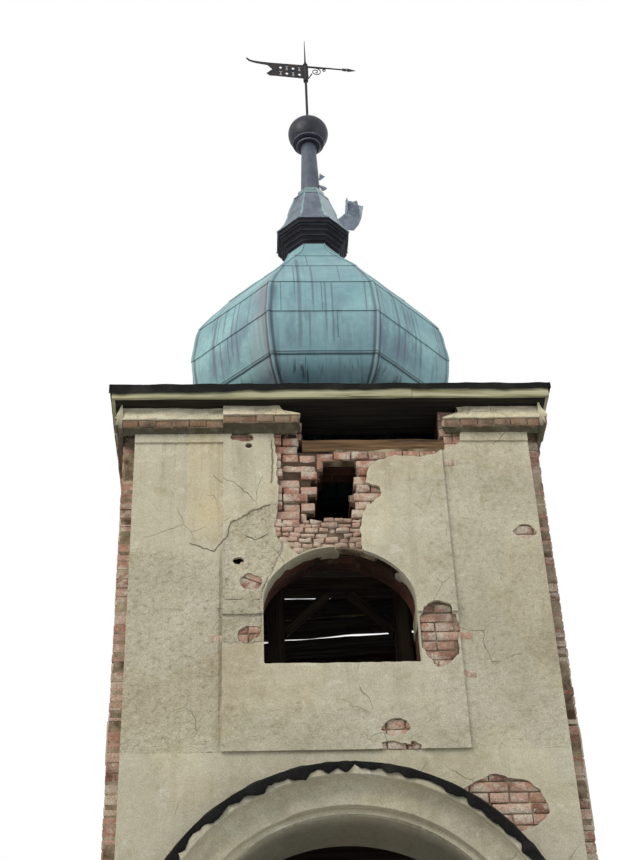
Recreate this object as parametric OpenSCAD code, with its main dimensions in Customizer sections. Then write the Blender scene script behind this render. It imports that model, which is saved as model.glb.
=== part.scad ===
// Bell tower over an arched gateway: plastered brick, bell storey with basket-arched openings,
// low felt roof, octagonal onion dome, moulded cornice, spirelet, ball, rod and turning vane.
// Front faces -Y. Origin at the centre of the footprint, on the ground.

/* [Brick walls] */
// Width across the front and rear faces
front_w = 3000; // [2600:50:4000]
// Depth from front face to rear face
front_d = 3000; // [2600:50:4000]
// How far the side faces stand proud of the front corners
side_proud = 100; // [40:10:200]
// Length of the square notch left at each corner
corner_notch = 120; // [60:10:240]
// Wall thickness of the ground storey
base_t = 500; // [350:10:560]
// Wall thickness of the bell storey
bell_t = 300; // [250:10:480]
// Height of the ground storey
base_h = 5600; // [5300:50:7000]
// Height of the wall head above the ground
wall_top = 8500; // [8000:50:10500]
// Height of one brick course with its joint
course = 77; // [60:1:90]

/* [Gateway] */
// Clear width of the gateway
gate_w = 2180; // [1600:20:2240]
// Height of the springing line of the gateway arch
gate_spring = 4070; // [3200:10:4150]
// Gap between the arch edge and the raised hood
hood_gap = 30; // [10:5:80]
// Height of the raised hood band
hood_band = 240; // [120:10:260]
// Projection of the hood from the wall
hood_proj = 150; // [60:10:220]
// Thickness of the felt laid over the hood
hood_felt_t = 12; // [6:1:20]

/* [Sound openings] */
// Clear width of each opening
window_w = 1100; // [700:20:1400]
// Height of the sill above the ground
sill_z = 6250; // [6000:10:6800]
// Height of the vertical jambs
jamb_h = 500; // [300:10:700]
// Rise of the basket arch
arch_rise = 475; // [360:5:500]
// Radius of the two tight arcs at the springings
haunch_r = 400; // [280:5:420]
// Projection of the raised middle bay
bay_proud = 20; // [10:1:60]
// Width of the raised middle bay
bay_w = 1660; // [1460:20:1800]
// Height of the impost band
impost_h = 116; // [60:2:160]
// Projection of the impost band
impost_proud = 15; // [5:1:40]

/* [Cornice] */
// Height of the frieze band
frieze_h = 80; // [50:5:120]
// Projection of the frieze band
frieze_proud = 15; // [8:1:40]
// Height of the cornice
cornice_h = 230; // [160:5:300]
// Projection of the cornice on the front and rear
cornice_proj = 90; // [60:5:160]
// Projection of the cornice on the sides
cornice_side_proj = 60; // [40:5:120]
// Extra projection of the cornice over the middle bay
cornice_break = 30; // [10:5:60]
// Height of the hollow moulding at the foot of the cornice
cove_h = 40; // [25:5:90]
// Left end of the stretch of front cornice that has fallen
gap_x0 = -230; // [-600:10:0]
// Right end of the stretch of front cornice that has fallen
gap_x1 = 830; // [400:10:900]
// Half width of the stretch of rear wall head that has fallen
rear_gap_half = 900; // [500:10:1100]
// Depth to which the rear wall head has fallen
rear_gap_h = 500; // [300:10:600]

/* [Floor and timbers] */
// Side of a floor joist
joist = 140; // [80:5:200]
// Thickness of the floor boards
board_t = 30; // [20:1:45]
// Side of the two inner posts
post = 130; // [80:5:180]
// Underside of the tie beam above the ground
tie_z = 7550; // [7300:10:7800]
// Depth of the tie beam
tie_h = 130; // [90:5:180]

/* [Roof] */
// Overhang of the eaves board past the side face
eaves_over = 80; // [40:5:300]
// Height of the eaves board
fascia_h = 110; // [80:5:180]
// Thickness of the eaves board
fascia_t = 25; // [18:1:40]
// Thickness of the roof boarding with its felt
roof_t = 45; // [30:1:70]
// Half width of the flat deck under the dome
deck_half = 875; // [780:5:960]
// Rise of the roof from the eaves board to the deck
roof_rise = 515; // [380:5:700]
// Width of one bare board on the rear slope
rear_board = 172; // [120:2:220]
// Gap between two bare boards
rear_gap = 20; // [8:1:40]

/* [Dome] */
// Half width across flats at the foot of the dome
dome_foot = 860; // [760:5:900]
// Half width across flats at the widest seam
dome_belly = 1126; // [930:2:1300]
// Half width across flats at the top of the dome
dome_neck = 235; // [200:5:320]
// Height of the dome
dome_h = 2365; // [1900:5:2800]
// Thickness of the boarding and copper
dome_t = 32; // [20:1:60]

/* [Spirelet] */
// Half width across flats of the black cornice under the spirelet
lantern_a = 337; // [300:2:420]
// Height of the black cornice
lantern_h = 250; // [180:5:340]
// Height of the concave copper skirt
skirt_h = 530; // [400:5:700]
// Height of the octagonal neck collar
collar_h = 120; // [80:5:180]
// Diameter of the column at its foot
column_d0 = 196; // [140:2:240]
// Diameter of the column at its head
column_d1 = 152; // [110:2:200]
// Height of the column
column_h = 725; // [500:5:1000]
// Diameter of the ball
ball_d = 414; // [300:2:560]

/* [Vane] */
// Diameter of the rod
rod_d = 26; // [18:1:40]
// Height of the rod above the ball
rod_h = 1310; // [900:10:1600]
// Height of the vane hub above the ball
vane_up = 655; // [400:5:800]
// Running clearance of the hub round the rod
hub_clear = 2; // [1:0.5:4]
// Wall of the hub
hub_wall = 7; // [4:1:14]
// Height of the hub
hub_h = 250; // [150:10:320]
// Length of the flag from the rod to its tail
flag_l = 640; // [400:10:800]
// Length of the arrow from the rod to its tip
arrow_l = 550; // [350:10:750]
// Thickness of the sheet of the flag
sheet_t = 6; // [4:1:10]
// Angle at which the wind has left the vane
vane_turn = 6; // [-180:1:180]

/* [Hidden] */

$fn = 48;
eps = 1;
hw = front_w / 2;
hd = front_d / 2;
side_x = hw + side_proud;
bell_h = wall_top - base_h;
window_spring = sill_z + jamb_h;
haunch = min(haunch_r, arch_rise * 0.87);
frieze_z = wall_top - cornice_h - frieze_h;
notch_z = frieze_z - 60;
plate_h = 110;
plate_d = 150;
putlog = 56;
putlog_depth = 160;
inner_x = side_x - bell_t;
inner_y = hd - bell_t;
eaves_x = side_x + eaves_over;
eaves_y = hd + cornice_proj + eaves_over;
soffit_t = 22;
soffit_z = wall_top;
eaves_z = wall_top + fascia_h;
deck_t = 23;
deck_z = eaves_z + roof_rise;
slope_x = roof_rise / (eaves_x - deck_half);
slope_y = roof_rise / (eaves_y - deck_half);
rafter_v = 150;
rafter_w = 70;
curb_h = 72;
dome_z = deck_z + deck_t + curb_h;
lantern_z = dome_z + dome_h;
skirt_z = lantern_z + lantern_h;
collar_z = skirt_z + skirt_h;
column_z = collar_z + collar_h;
ball_z = column_z + column_h + ball_d / 2;
cap_h = 8;
rod_z = ball_z + ball_d / 2 + cap_h;
vane_z = rod_z + vane_up;
hub_bore = rod_d + 2 * hub_clear;
hub_r = hub_bore / 2 + hub_wall;
seat_gap = 0.3;
fit_gap = 0.1;
shaft_drop = 9;

// Points of an arc about [cx, cy] from angle a0 to a1 in n steps
function arc(cx, cy, r, a0, a1, n) =
  [for (i = [0 : n]) let (a = a0 + (a1 - a0) * i / n) [cx + r * cos(a), cy + r * sin(a)]];

// One point of a smooth curve through p1 and p2, with p0 and p3 as neighbours
function spline_point(p0, p1, p2, p3, t) =
  0.5 * (2 * p1 + (p2 - p0) * t + (2 * p0 - 5 * p1 + 4 * p2 - p3) * t * t
    + (3 * p1 - p0 - 3 * p2 + p3) * t * t * t);

// Smooth curve through all points of a list, with n steps between neighbours
function spline(p, n) = concat(
  [for (i = [0 : len(p) - 2]) for (k = [0 : n - 1])
    spline_point(p[max(i - 1, 0)], p[i], p[i + 1], p[min(i + 2, len(p) - 1)], k / n)],
  [p[len(p) - 1]]);

function reversed(p) = [for (i = [len(p) - 1 : -1 : 0]) p[i]];

// Three-centred basket arch: half span, rise and haunch radius give the crown radius
function crown_r(a, b, r) = (pow(a - r, 2) + b * b - r * r) / (2 * (b - r));
function basket(a, b, r) =
  let (big = crown_r(a, b, r), turn = atan2(a - r, big - b), lift = 90 - turn)
  concat(arc(a - r, 0, r, 0, lift, 8), arc(0, b - big, big, 90 - turn, 90 + turn, 12),
    arc(r - a, 0, r, 180 - lift, 180, 8));

// A rectangle with a basket arch on top, standing on z = 0
module window_outline() {
  polygon(concat([[-window_w / 2, 0], [window_w / 2, 0]],
    [for (p = basket(window_w / 2, arch_rise, haunch)) [p[0], p[1] + jamb_h]]));
}

// A half-round gateway outline, standing on z = 0
module gate_outline() {
  polygon(concat([[-gate_w / 2, -eps], [gate_w / 2, -eps]],
    arc(0, gate_spring, gate_w / 2, 0, 180, 48)));
}

// Lays an outline drawn in x and z as a slab from y0 to y1
module slab_y(y0, y1) {
  translate([0, y1, 0]) rotate([90, 0, 0]) linear_extrude(y1 - y0) children();
}

// Lays an outline drawn in y and z as a slab from x0 to x1
module slab_x(x0, x1) {
  translate([x0, 0, 0]) rotate([90, 0, 90]) linear_extrude(x1 - x0) children();
}

module box(x0, x1, y0, y1, z0, z1) {
  translate([x0, y0, z0]) cube([x1 - x0, y1 - y0, z1 - z0]);
}

// Plan of a side wall: it fills between the front and rear walls and its face stands proud
module side_plan(t) {
  polygon([[hw, -hd + corner_notch], [side_x, -hd + corner_notch],
    [side_x, hd - corner_notch], [hw, hd - corner_notch],
    [hw, hd - t], [side_x - t, hd - t], [side_x - t, -hd + t], [hw, -hd + t]]);
}

module gate_wall() {
  difference() {
    box(-hw, hw, -hd, -hd + base_t, 0, base_h);
    slab_y(-hd - eps, -hd + base_t + eps) gate_outline();
  }
}

module base_front_wall() { color("#8d5a47") gate_wall(); }

module base_rear_wall() { color("#8d5a47") rotate([0, 0, 180]) gate_wall(); }

module base_right_wall() { color("#8d5a47") linear_extrude(base_h) side_plan(base_t); }

module base_left_wall() { color("#8d5a47") mirror([1, 0, 0]) linear_extrude(base_h) side_plan(base_t); }

// Ring segment of the hood between two radii, down to the springing line
module hood_ring(r0, r1) {
  polygon(concat(arc(0, gate_spring, r1, 0, 180, 48), arc(0, gate_spring, r0, 180, 0, 48)));
}

// Moulded hood: a deep outer fillet over a shallower inner one
module hood_half() {
  r0 = gate_w / 2 + hood_gap;
  r1 = r0 + hood_band;
  step = hood_band / 3;
  slab_y(-hd - hood_proj, -hd) hood_ring(r0 + 2 * step, r1);
  slab_y(-hd - hood_proj * 0.66, -hd) hood_ring(r0 + step, r0 + 2 * step);
  slab_y(-hd - hood_proj * 0.33, -hd) hood_ring(r0, r0 + step);
}

module both_faces() {
  children();
  rotate([0, 0, 180]) children();
}

module portal_hoods() { color("#b8ad98") both_faces() hood_half(); }

module hood_felt() {
  r1 = gate_w / 2 + hood_gap + hood_band;
  color("#1d1d1f") both_faces()
    slab_y(-hd - hood_proj - 15, -hd) hood_ring(r1, r1 + hood_felt_t);
}

module floor_joists() {
  n = 4;
  span = 2 * (inner_y - 200);
  color("#5d4a38") for (i = [0 : n - 1]) {
    y = -span / 2 + span * i / (n - 1);
    box(-inner_x, inner_x, y - joist / 2, y + joist / 2, base_h, base_h + joist);
  }
}

module floor_boards() {
  z = base_h + joist;
  color("#6b5743") box(-inner_x + 5, inner_x - 5, -inner_y + 5, inner_y - 5, z, z + board_t);
}

// Ragged outline of fallen brickwork: one step on each side for every course
module toothed_gap(z0, lefts, rights) {
  n = len(lefts);
  polygon(concat(
    [for (i = [0 : n - 1]) each [[lefts[i], z0 + i * course], [lefts[i], z0 + (i + 1) * course]]],
    [for (i = [n - 1 : -1 : 0]) each [[rights[i], z0 + (i + 1) * course], [rights[i], z0 + i * course]]]));
}

// Bell storey wall with its raised bay and sound opening, as seen from the front
module opening_wall() {
  difference() {
    union() {
      box(-hw, hw, -hd, -hd + bell_t, base_h, wall_top);
      box(-bay_w / 2, bay_w / 2, -hd - bay_proud, -hd + eps, base_h, frieze_z);
    }
    slab_y(-hd - bay_proud - eps, -hd + bell_t + eps) translate([0, sill_z]) window_outline();
  }
}

hole_lefts = [-215, -150, -205, -130, -180, -115, -80];
hole_rights = [120, 150, 115, 165, 150, 180, 175];
hole_z = 7488;

module bell_front_wall() {
  color("#c9bfa9") difference() {
    opening_wall();
    slab_y(-hd - bay_proud - eps, -hd + bell_t + eps) toothed_gap(hole_z, hole_lefts, hole_rights);
    slab_y(-hd - bay_proud - eps, -hd + bell_t + eps)
      polygon([[gap_x0 - 60, wall_top + eps], [gap_x0 - 60, wall_top - course],
        [gap_x0, wall_top - course], [gap_x0, notch_z + course], [gap_x0 - 40, notch_z + course],
        [gap_x0 - 40, notch_z], [gap_x1 + 30, notch_z], [gap_x1 + 30, notch_z + 2 * course],
        [gap_x1, notch_z + 2 * course], [gap_x1, wall_top + eps]]);
    for (p = [[-642, 8161], [-719, 7106]])
      translate([p[0] - putlog / 2, -hd - bay_proud - eps, p[1] - putlog / 2])
        cube([putlog, putlog_depth, putlog]);
  }
}

// The rear wall has lost its head between two stepped ends
module bell_rear_wall() {
  x = rear_gap_half;
  z = wall_top - rear_gap_h;
  color("#c9bfa9") difference() {
    rotate([0, 0, 180]) opening_wall();
    slab_y(hd - bell_t - eps, hd + bay_proud + eps)
      polygon([[-x, wall_top + eps], [-x, z + 3 * course], [-x + 130, z + 3 * course], [-x + 130, z],
        [x - 65, z], [x - 65, z + 2 * course], [x, z + 2 * course], [x, wall_top + eps]]);
  }
}

module bell_side() {
  difference() {
    translate([0, 0, base_h]) linear_extrude(bell_h) side_plan(bell_t);
    slab_x(side_x - bell_t - eps, side_x + eps) translate([0, sill_z]) window_outline();
  }
}

module bell_right_wall() { color("#b4775f") bell_side(); }

module bell_left_wall() { color("#b4775f") mirror([1, 0, 0]) bell_side(); }

// Impost bands on the raised bay, at both sides of the front and rear openings
module impost_bands() {
  z = window_spring - impost_h + 20;
  color("#c4b9a2") both_faces() for (s = [-1, 1]) {
    x0 = s > 0 ? window_w / 2 : -bay_w / 2;
    box(x0, x0 + (bay_w - window_w) / 2, -hd - bay_proud - impost_proud, -hd - bay_proud, z, z + impost_h);
  }
}

// Thin flat band below the cornice on all four faces
module frieze_band() {
  z1 = frieze_z + frieze_h;
  y0 = -hd - frieze_proud;
  color("#cbc2ad") {
    box(-hw, gap_x0 - 60, y0, -hd, frieze_z, z1);
    box(gap_x1 + 30, hw, y0, -hd, frieze_z, z1);
    for (s = [0, 1]) mirror([s, 0, 0]) box(rear_gap_half, hw, hd, -y0, frieze_z, z1);
    for (s = [0, 1]) mirror([s, 0, 0])
      box(side_x, side_x + frieze_proud, -hd + corner_notch, hd - corner_notch, frieze_z, z1);
  }
}

// Straight run of cornice along the front face from x0 to x1
module cornice_run(x0, x1, face_y, proj) {
  translate([x0, face_y, wall_top - cornice_h]) rotate([90, 0, 90]) mirror([1, 0, 0])
    linear_extrude(x1 - x0) cornice_profile(proj);
}

// Cornice section: a cavetto, an upright face and a weathered slope, drawn as projection and height
module cornice_profile(proj) {
  cove = proj - 18;
  polygon(concat([[0, cornice_h], [0, 0]],
    [for (i = [0 : 8]) let (a = 90 * i / 8) [18 + cove * (1 - cos(a)), cove_h * sin(a)]],
    [[proj, cornice_h * 0.46], [proj - 34, cornice_h * 0.82], [proj - 42, cornice_h]]));
}

module cornice_front_left() {
  color("#b3a78e") {
    cornice_run(-side_x, -bay_w / 2, -hd, cornice_proj);
    difference() {
      cornice_run(-bay_w / 2, gap_x0, -hd, cornice_proj + cornice_break);
      box(gap_x0 - 90, gap_x0 + eps, -hd - 200, -hd - 60, wall_top - course, wall_top + eps);
      box(gap_x0 - 40, gap_x0 + eps, -hd - 200, -hd - 80, wall_top - cornice_h - eps,
        wall_top - cornice_h + course);
    }
  }
}

module cornice_front_right() { color("#b3a78e") cornice_run(gap_x1, side_x, -hd, cornice_proj); }

module cornice_rear() {
  color("#b3a78e") for (s = [0, 1]) mirror([s, 0, 0]) rotate([0, 0, 180])
    cornice_run(rear_gap_half, side_x, -hd, cornice_proj);
}

module cornice_side() {
  half = hd + cornice_proj;
  rotate([0, 0, 90]) cornice_run(-half, half, -side_x, cornice_side_proj);
}

module cornice_right() { color("#a89c85") cornice_side(); }

module cornice_left() { color("#a89c85") mirror([1, 0, 0]) cornice_side(); }

module front_wall_plate() {
  color("#5b4b3b") box(gap_x0, gap_x1 + 30, -hd + 30, -hd + 30 + plate_d, notch_z, notch_z + plate_h);
}

post_y = -350;
post_x = [-430, 560];

module inner_posts() {
  z0 = base_h + joist + board_t;
  color("#6d5a46") for (x = post_x)
    box(x - post / 2, x + post / 2, post_y - post / 2, post_y + post / 2, z0, tie_z);
}

module tie_beam() {
  color("#5a4a3a") box(-inner_x, inner_x, post_y - 70, post_y + 70, tie_z, tie_z + tie_h);
}

// Slanting braces between the posts and the tie beam
module braces() {
  reach = 300;
  w = 90;
  color("#66543f") for (k = [0, 1]) {
    s = k == 0 ? 1 : -1;
    x0 = post_x[k] + s * post / 2;
    slab_y(post_y - 40, post_y + 40)
      polygon([[x0, tie_z - reach - w], [x0, tie_z - reach], [x0 + s * reach, tie_z],
        [x0 + s * (reach + w), tie_z]]);
  }
}

// Boards under the eaves, bearing on the wall heads and the cornices; fallen where the rear head is
module eaves_soffit() {
  color("#8a8468") difference() {
    box(-eaves_x + fascia_t, eaves_x - fascia_t, -eaves_y + fascia_t, eaves_y - fascia_t,
      soffit_z, soffit_z + soffit_t);
    box(-inner_x, inner_x, -inner_y, inner_y, soffit_z - eps, soffit_z + soffit_t + eps);
    box(-rear_gap_half, rear_gap_half, inner_y - eps, eaves_y, soffit_z - eps, soffit_z + soffit_t + eps);
  }
}

module fascia_boards() {
  z0 = soffit_z;
  h = fascia_h - fit_gap;
  color("#a8a078") {
    for (s = [0, 1]) mirror([0, s, 0])
      box(-eaves_x, eaves_x, -eaves_y, -eaves_y + fascia_t, z0, z0 + h);
    for (s = [0, 1]) mirror([s, 0, 0])
      box(eaves_x - fascia_t, eaves_x, -eaves_y + fascia_t, eaves_y - fascia_t, z0, z0 + h);
  }
}

// Plan quarter of the roof that falls to the front, between the two hips
module front_sector(y0, y1, trim = 0) {
  reach = (eaves_x - deck_half) / (eaves_y - deck_half);
  x_at = function (y) deck_half + (y - deck_half) * reach - trim;
  polygon([[-x_at(y1), -y1], [x_at(y1), -y1], [x_at(y0), -y0], [-x_at(y0), -y0]]);
}

module right_sector(x0, x1) {
  reach = (eaves_y - deck_half) / (eaves_x - deck_half);
  y_at = function (x) deck_half + (x - deck_half) * reach;
  polygon([[x0, -y_at(x0)], [x1, -y_at(x1)], [x1, y_at(x1)], [x0, y_at(x0)]]);
}

// Layer parallel to the front slope, from lift v0 to lift v1 above the line of the rafters
module front_layer(v0, v1) {
  far = eaves_y + 40;
  z_at = function (y) eaves_z + (eaves_y - y) * slope_y;
  slab_x(-eaves_x - 60, eaves_x + 60)
    polygon([[-far, z_at(far) + v0], [-deck_half + 400, z_at(deck_half - 400) + v0],
      [-deck_half + 400, z_at(deck_half - 400) + v1], [-far, z_at(far) + v1]]);
}

module right_layer(v0, v1) {
  far = eaves_x + 40;
  z_at = function (x) eaves_z + (eaves_x - x) * slope_x;
  slab_y(-eaves_y - 60, eaves_y + 60)
    polygon([[far, z_at(far) + v0], [deck_half - 400, z_at(deck_half - 400) + v0],
      [deck_half - 400, z_at(deck_half - 400) + v1], [far, z_at(far) + v1]]);
}

roof_v = roof_t * 1.2;
drip = 15;

module roof_felt_front() {
  color("#242427") intersection() {
    front_layer(0, roof_v);
    linear_extrude(deck_z + 400) front_sector(deck_half, eaves_y + drip);
  }
}

module felt_right() {
  intersection() {
    right_layer(0, roof_v);
    linear_extrude(deck_z + 400) right_sector(deck_half, eaves_x + drip);
  }
}

module roof_felt_right() { color("#2a2a2c") felt_right(); }

module roof_felt_left() { color("#2a2a2c") mirror([1, 0, 0]) felt_right(); }

// Bare boards on the rear slope, where the felt has gone: each lies level, with a gap to the next
// Three more, fixed to the inner face of the rear wall, partly close the head that has fallen
module roof_boards_rear() {
  closing_boards();
  pitch = rear_board + rear_gap;
  run = eaves_y + drip - deck_half;
  slant = sqrt(1 + slope_y * slope_y);
  n = floor(run * slant / pitch);
  color("#7d735c") rotate([0, 0, 180]) intersection() {
    front_layer(0, 26);
    union() for (i = [0 : n]) {
      y1 = eaves_y + drip - i * pitch / slant;
      y0 = max(y1 - rear_board / slant, deck_half);
      if (y1 - y0 > 20) linear_extrude(deck_z + 400) front_sector(y0, y1, 0.3);
    }
  }
}

// Tilted boards over the fallen head of the rear wall, with gaps that let the light through
module closing_boards() {
  x = rear_gap_half + 110;
  y = inner_y - fit_gap;
  z = wall_top - rear_gap_h;
  tilt = 0.075 * x;
  color("#7d735c") slab_y(y - 25, y) for (k = [-1 : 1]) {
    z0 = z + 80 + k * 208;
    polygon([[-x, z0 - tilt], [x, z0 + tilt], [x, z0 + tilt + 197], [-x, z0 - tilt + 197]]);
  }
}

// Square frame under the deck that carries the heads of the rafters
module roof_trimmer() {
  color("#57473a") translate([0, 0, deck_z - deck_drop - rafter_v]) linear_extrude(rafter_v) difference() {
    square(2 * trimmer_half, center = true);
    square(2 * (trimmer_half - 120), center = true);
  }
}

// Rafters: two commons on each slope and a hip at each corner
module roof_rafters() {
  zs = soffit_z + soffit_t;
  top = deck_z - deck_drop;
  color("#5f4e3c") {
    for (k = [0, 1]) rotate([0, 0, 180 * k]) for (c = commons) {
      slab_x(c - rafter_w / 2, c + rafter_w / 2) mirror([1, 0])
        common_section(eaves_y, slope_y, zs, top);
      slab_y(c - rafter_w / 2, c + rafter_w / 2) common_section(eaves_x, slope_x, zs, top);
    }
    for (sx = [0, 1]) for (sy = [0, 1]) mirror([sx, 0, 0]) mirror([0, sy, 0]) hip_rafter(zs, top);
  }
}

commons = [-520, 520];
deck_drop = 12;
trimmer_half = deck_half - 40;

// Side view of a common rafter, drawn as distance from the middle and height
module common_section(far, slope, zs, top) {
  x1 = far - fascia_t;
  x0 = trimmer_half;
  head = eaves_z - fit_gap;
  under = head + (far - x0) * slope - rafter_v;
  polygon([[x0, under], [far - (zs + rafter_v - head) / slope, zs], [x1, zs],
    [x1, head + fascia_t * slope], [far - (top - head) / slope, top], [x0, top]]);
}

// Hip rafter, dropped so that its square top edges meet the two slopes
module hip_rafter(zs, top) {
  run = norm([eaves_x - deck_half, eaves_y - deck_half]);
  fall = roof_rise / run;
  half = rafter_w / 2;
  ux = (eaves_x - deck_half) / run;
  uy = (eaves_y - deck_half) / run;
  drop = half * max(ux * slope_y, uy * slope_x) + 3 * fit_gap;
  z_at = function (s) deck_z - s * fall - drop;
  end = min((eaves_x - fascia_t - deck_half - half * uy) / ux,
    (eaves_y - fascia_t - deck_half - half * ux) / uy) - 3 * fit_gap;
  difference() {
    translate([deck_half, deck_half, 0]) rotate([0, 0, atan2(eaves_y - deck_half, eaves_x - deck_half)])
      slab_y(-rafter_w / 2, rafter_w / 2)
        polygon([[-80, top - rafter_v], [(deck_z - drop - rafter_v - zs) / fall, zs], [end, zs],
          [end, z_at(end)], [(deck_z - drop - top) / fall, top], [-80, top]]);
    box(-trimmer_half, trimmer_half, -trimmer_half, trimmer_half, zs, deck_z);
  }
}

// Octagonal prism with a given half width across flats, one flat facing the front
module octagon(a) { rotate(22.5) circle(r = a / cos(22.5), $fn = 8); }

module roof_deck() {
  color("#303033") translate([0, 0, deck_z - deck_drop]) linear_extrude(deck_t + deck_drop) difference() {
    square(2 * deck_half - 2, center = true);
    octagon(dome_foot - 130);
  }
}

module dome_curb() {
  color("#5c4c3b") translate([0, 0, deck_z + deck_t]) linear_extrude(curb_h) difference() {
    octagon(dome_foot - 8);
    octagon(dome_foot - 130);
  }
}

// Solid of eight equal faces: each section point is [half width across flats, height]
module eight_sided(section) {
  rotate(22.5) rotate_extrude($fn = 8) polygon([for (p = section) [p[0] / cos(22.5), p[1]]]);
}

// Dome section as shares of height, with half widths blended between foot, belly and neck
dome_line = [[0, 0], [0.060, 0.53], [0.120, 0.76], [0.205, 0.93], [0.283, 1],
  [0.350, 0.985], [0.438, 0.95], [0.520, 0.84], [0.591, 0.722], [0.657, 0.61],
  [0.767, 0.40], [0.873, 0.182], [0.945, 0.055], [1, 0]];

function dome_half(i) = i < 5
  ? dome_foot + (dome_belly - dome_foot) * dome_line[i][1]
  : dome_neck + (dome_belly - dome_neck) * dome_line[i][1];

dome_knots = [for (i = [0 : len(dome_line) - 1]) [dome_half(i), dome_z + dome_h * dome_line[i][0]]];
dome_outer = spline(dome_knots, 3);

module dome_shell() {
  color("#6fa79d") eight_sided(concat(dome_outer,
    reversed([for (p = dome_outer) [p[0] - dome_t, p[1]]])));
}

// Black moulded cornice: steps out upwards from the dome to the eaves of the spirelet
module lantern_cornice() {
  z = lantern_z;
  a0 = dome_neck;
  steps = 4;
  rise = (lantern_h - 60) / steps;
  go = (lantern_a - a0 - 8) / steps;
  outline = concat([[0, z], [a0, z]],
    [for (i = [0 : steps - 1]) each [
      [a0 + go * i + 3, z + rise * i + rise * 0.55], [a0 + go * (i + 1) - 6, z + rise * (i + 0.75)],
      [a0 + go * (i + 1) - 6, z + rise * (i + 1)]]],
    [[lantern_a, z + lantern_h - 50], [lantern_a, z + lantern_h], [0, z + lantern_h]]);
  color("#1f2024") eight_sided(outline);
}

// Concave copper skirt, a shell on the black cornice
skirt_outer = spline([[lantern_a + 6, skirt_z], [286, skirt_z + skirt_h * 0.2],
  [243, skirt_z + skirt_h * 0.44], [217, skirt_z + skirt_h * 0.66], [168, skirt_z + skirt_h]], 4);

module spire_skirt() {
  color("#5d7370") eight_sided(concat(skirt_outer,
    reversed([for (p = skirt_outer) [p[0] - 24, p[1]]])));
}

// Half width of the skirt at a height, on the vertical plane where the torn sheet stands
flap_y = lantern_a * 0.32;
function skirt_reach(z) =
  let (a = lookup(z, [for (p = skirt_outer) [p[1], p[0]]]))
  a * tan(22.5) > flap_y ? a : a * sqrt(2) - flap_y + 3;

// Sheet of the right-hand face, torn open like a door on its front hip and bent upwards
module torn_flap() {
  root = [for (i = [0 : 6]) let (z = skirt_z + 55 + 26 * i) [skirt_reach(z) + seat_gap, z]];
  free = [[324, 281], [335, 410], [341, 452], [452, 475], [470, 415], [517, 439], [487, 255],
    [455, 145], [400, 55], [354, 62]];
  color("#4d6663") slab_y(-flap_y - 2.5, -flap_y + 2.5)
    polygon(concat(root, [for (p = free) [p[0] - 337 + lantern_a, p[1] + skirt_z]]));
}

module neck_collar() {
  z = collar_z;
  color("#56696a") eight_sided([[0, z], [174, z], [174, z + 14], [150, z + 24], [132, z + collar_h * 0.6],
    [128, z + collar_h], [0, z + collar_h]]);
}

// Tapering round column with a base fillet and a small cap under the ball
module spire_column() {
  r0 = column_d0 / 2;
  r1 = column_d1 / 2;
  z = column_z + fit_gap;
  h = column_h - fit_gap;
  color("#4a5a5d") rotate_extrude() polygon([[0, z], [r0 + 14, z], [r0 + 14, z + 12], [r0, z + 26],
    [r1, z + h - 60], [r1 + 6, z + h - 54], [r1 + 6, z + h - 40], [r1 + 1, z + h - 32],
    [r1 + 1, z + h], [0, z + h]]);
}

// Ball with its two collars below and a flat cap on top
module ball() {
  r = ball_d / 2;
  cut = r * 0.93;
  color("#39464b") difference() {
    union() {
      translate([0, 0, ball_z]) sphere(r = r);
      translate([0, 0, ball_z - r * 0.78]) cylinder(h = 24, r = r * 0.74);
      translate([0, 0, ball_z - r]) cylinder(h = 34, r = r * 0.60);
      translate([0, 0, ball_z + r - 6]) cylinder(h = cap_h + 6, r = 48);
    }
    translate([-r, -r, ball_z - r - 40]) cube([2 * r, 2 * r, 40]);
  }
}

// Fixed rod: stop collar under the hub and a spike at the top
module rod() {
  color("#2a2c2e") rotate_extrude() polygon([[0, rod_z], [30, rod_z], [24, rod_z + 30],
    [rod_d / 2, rod_z + 60], [rod_d / 2, vane_z - 24], [hub_r + 4, vane_z - 24], [hub_r + 4, vane_z],
    [rod_d / 2, vane_z], [rod_d / 2, vane_z + hub_h + 30], [9, vane_z + hub_h + 60],
    [3, rod_z + rod_h], [0, rod_z + rod_h]]);
}

// Places a piece of the vane: x along the arrow, height from the hub foot
module on_vane() {
  translate([0, 0, vane_z + seat_gap]) rotate([0, 0, vane_turn]) children();
}

// Outside of the hub, a tube with a rim at each end, grown by a small amount
module hub_body(grow) {
  rim = 16;
  cylinder(h = hub_h, r = hub_r + grow);
  translate([0, 0, -grow]) cylinder(h = rim + 2 * grow, r = hub_r + 4 + grow);
  translate([0, 0, hub_h - rim - grow]) cylinder(h = rim + 2 * grow, r = hub_r + 4 + grow);
}

module vane_hub() {
  color("#2d2f31") on_vane() difference() {
    hub_body(0);
    translate([0, 0, -eps]) cylinder(h = hub_h + 2 * eps, r = hub_bore / 2);
  }
}

// Keeps a piece of the vane just clear of the hub that carries it
module round_hub() {
  difference() {
    children();
    hub_body(fit_gap);
  }
}

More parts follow.
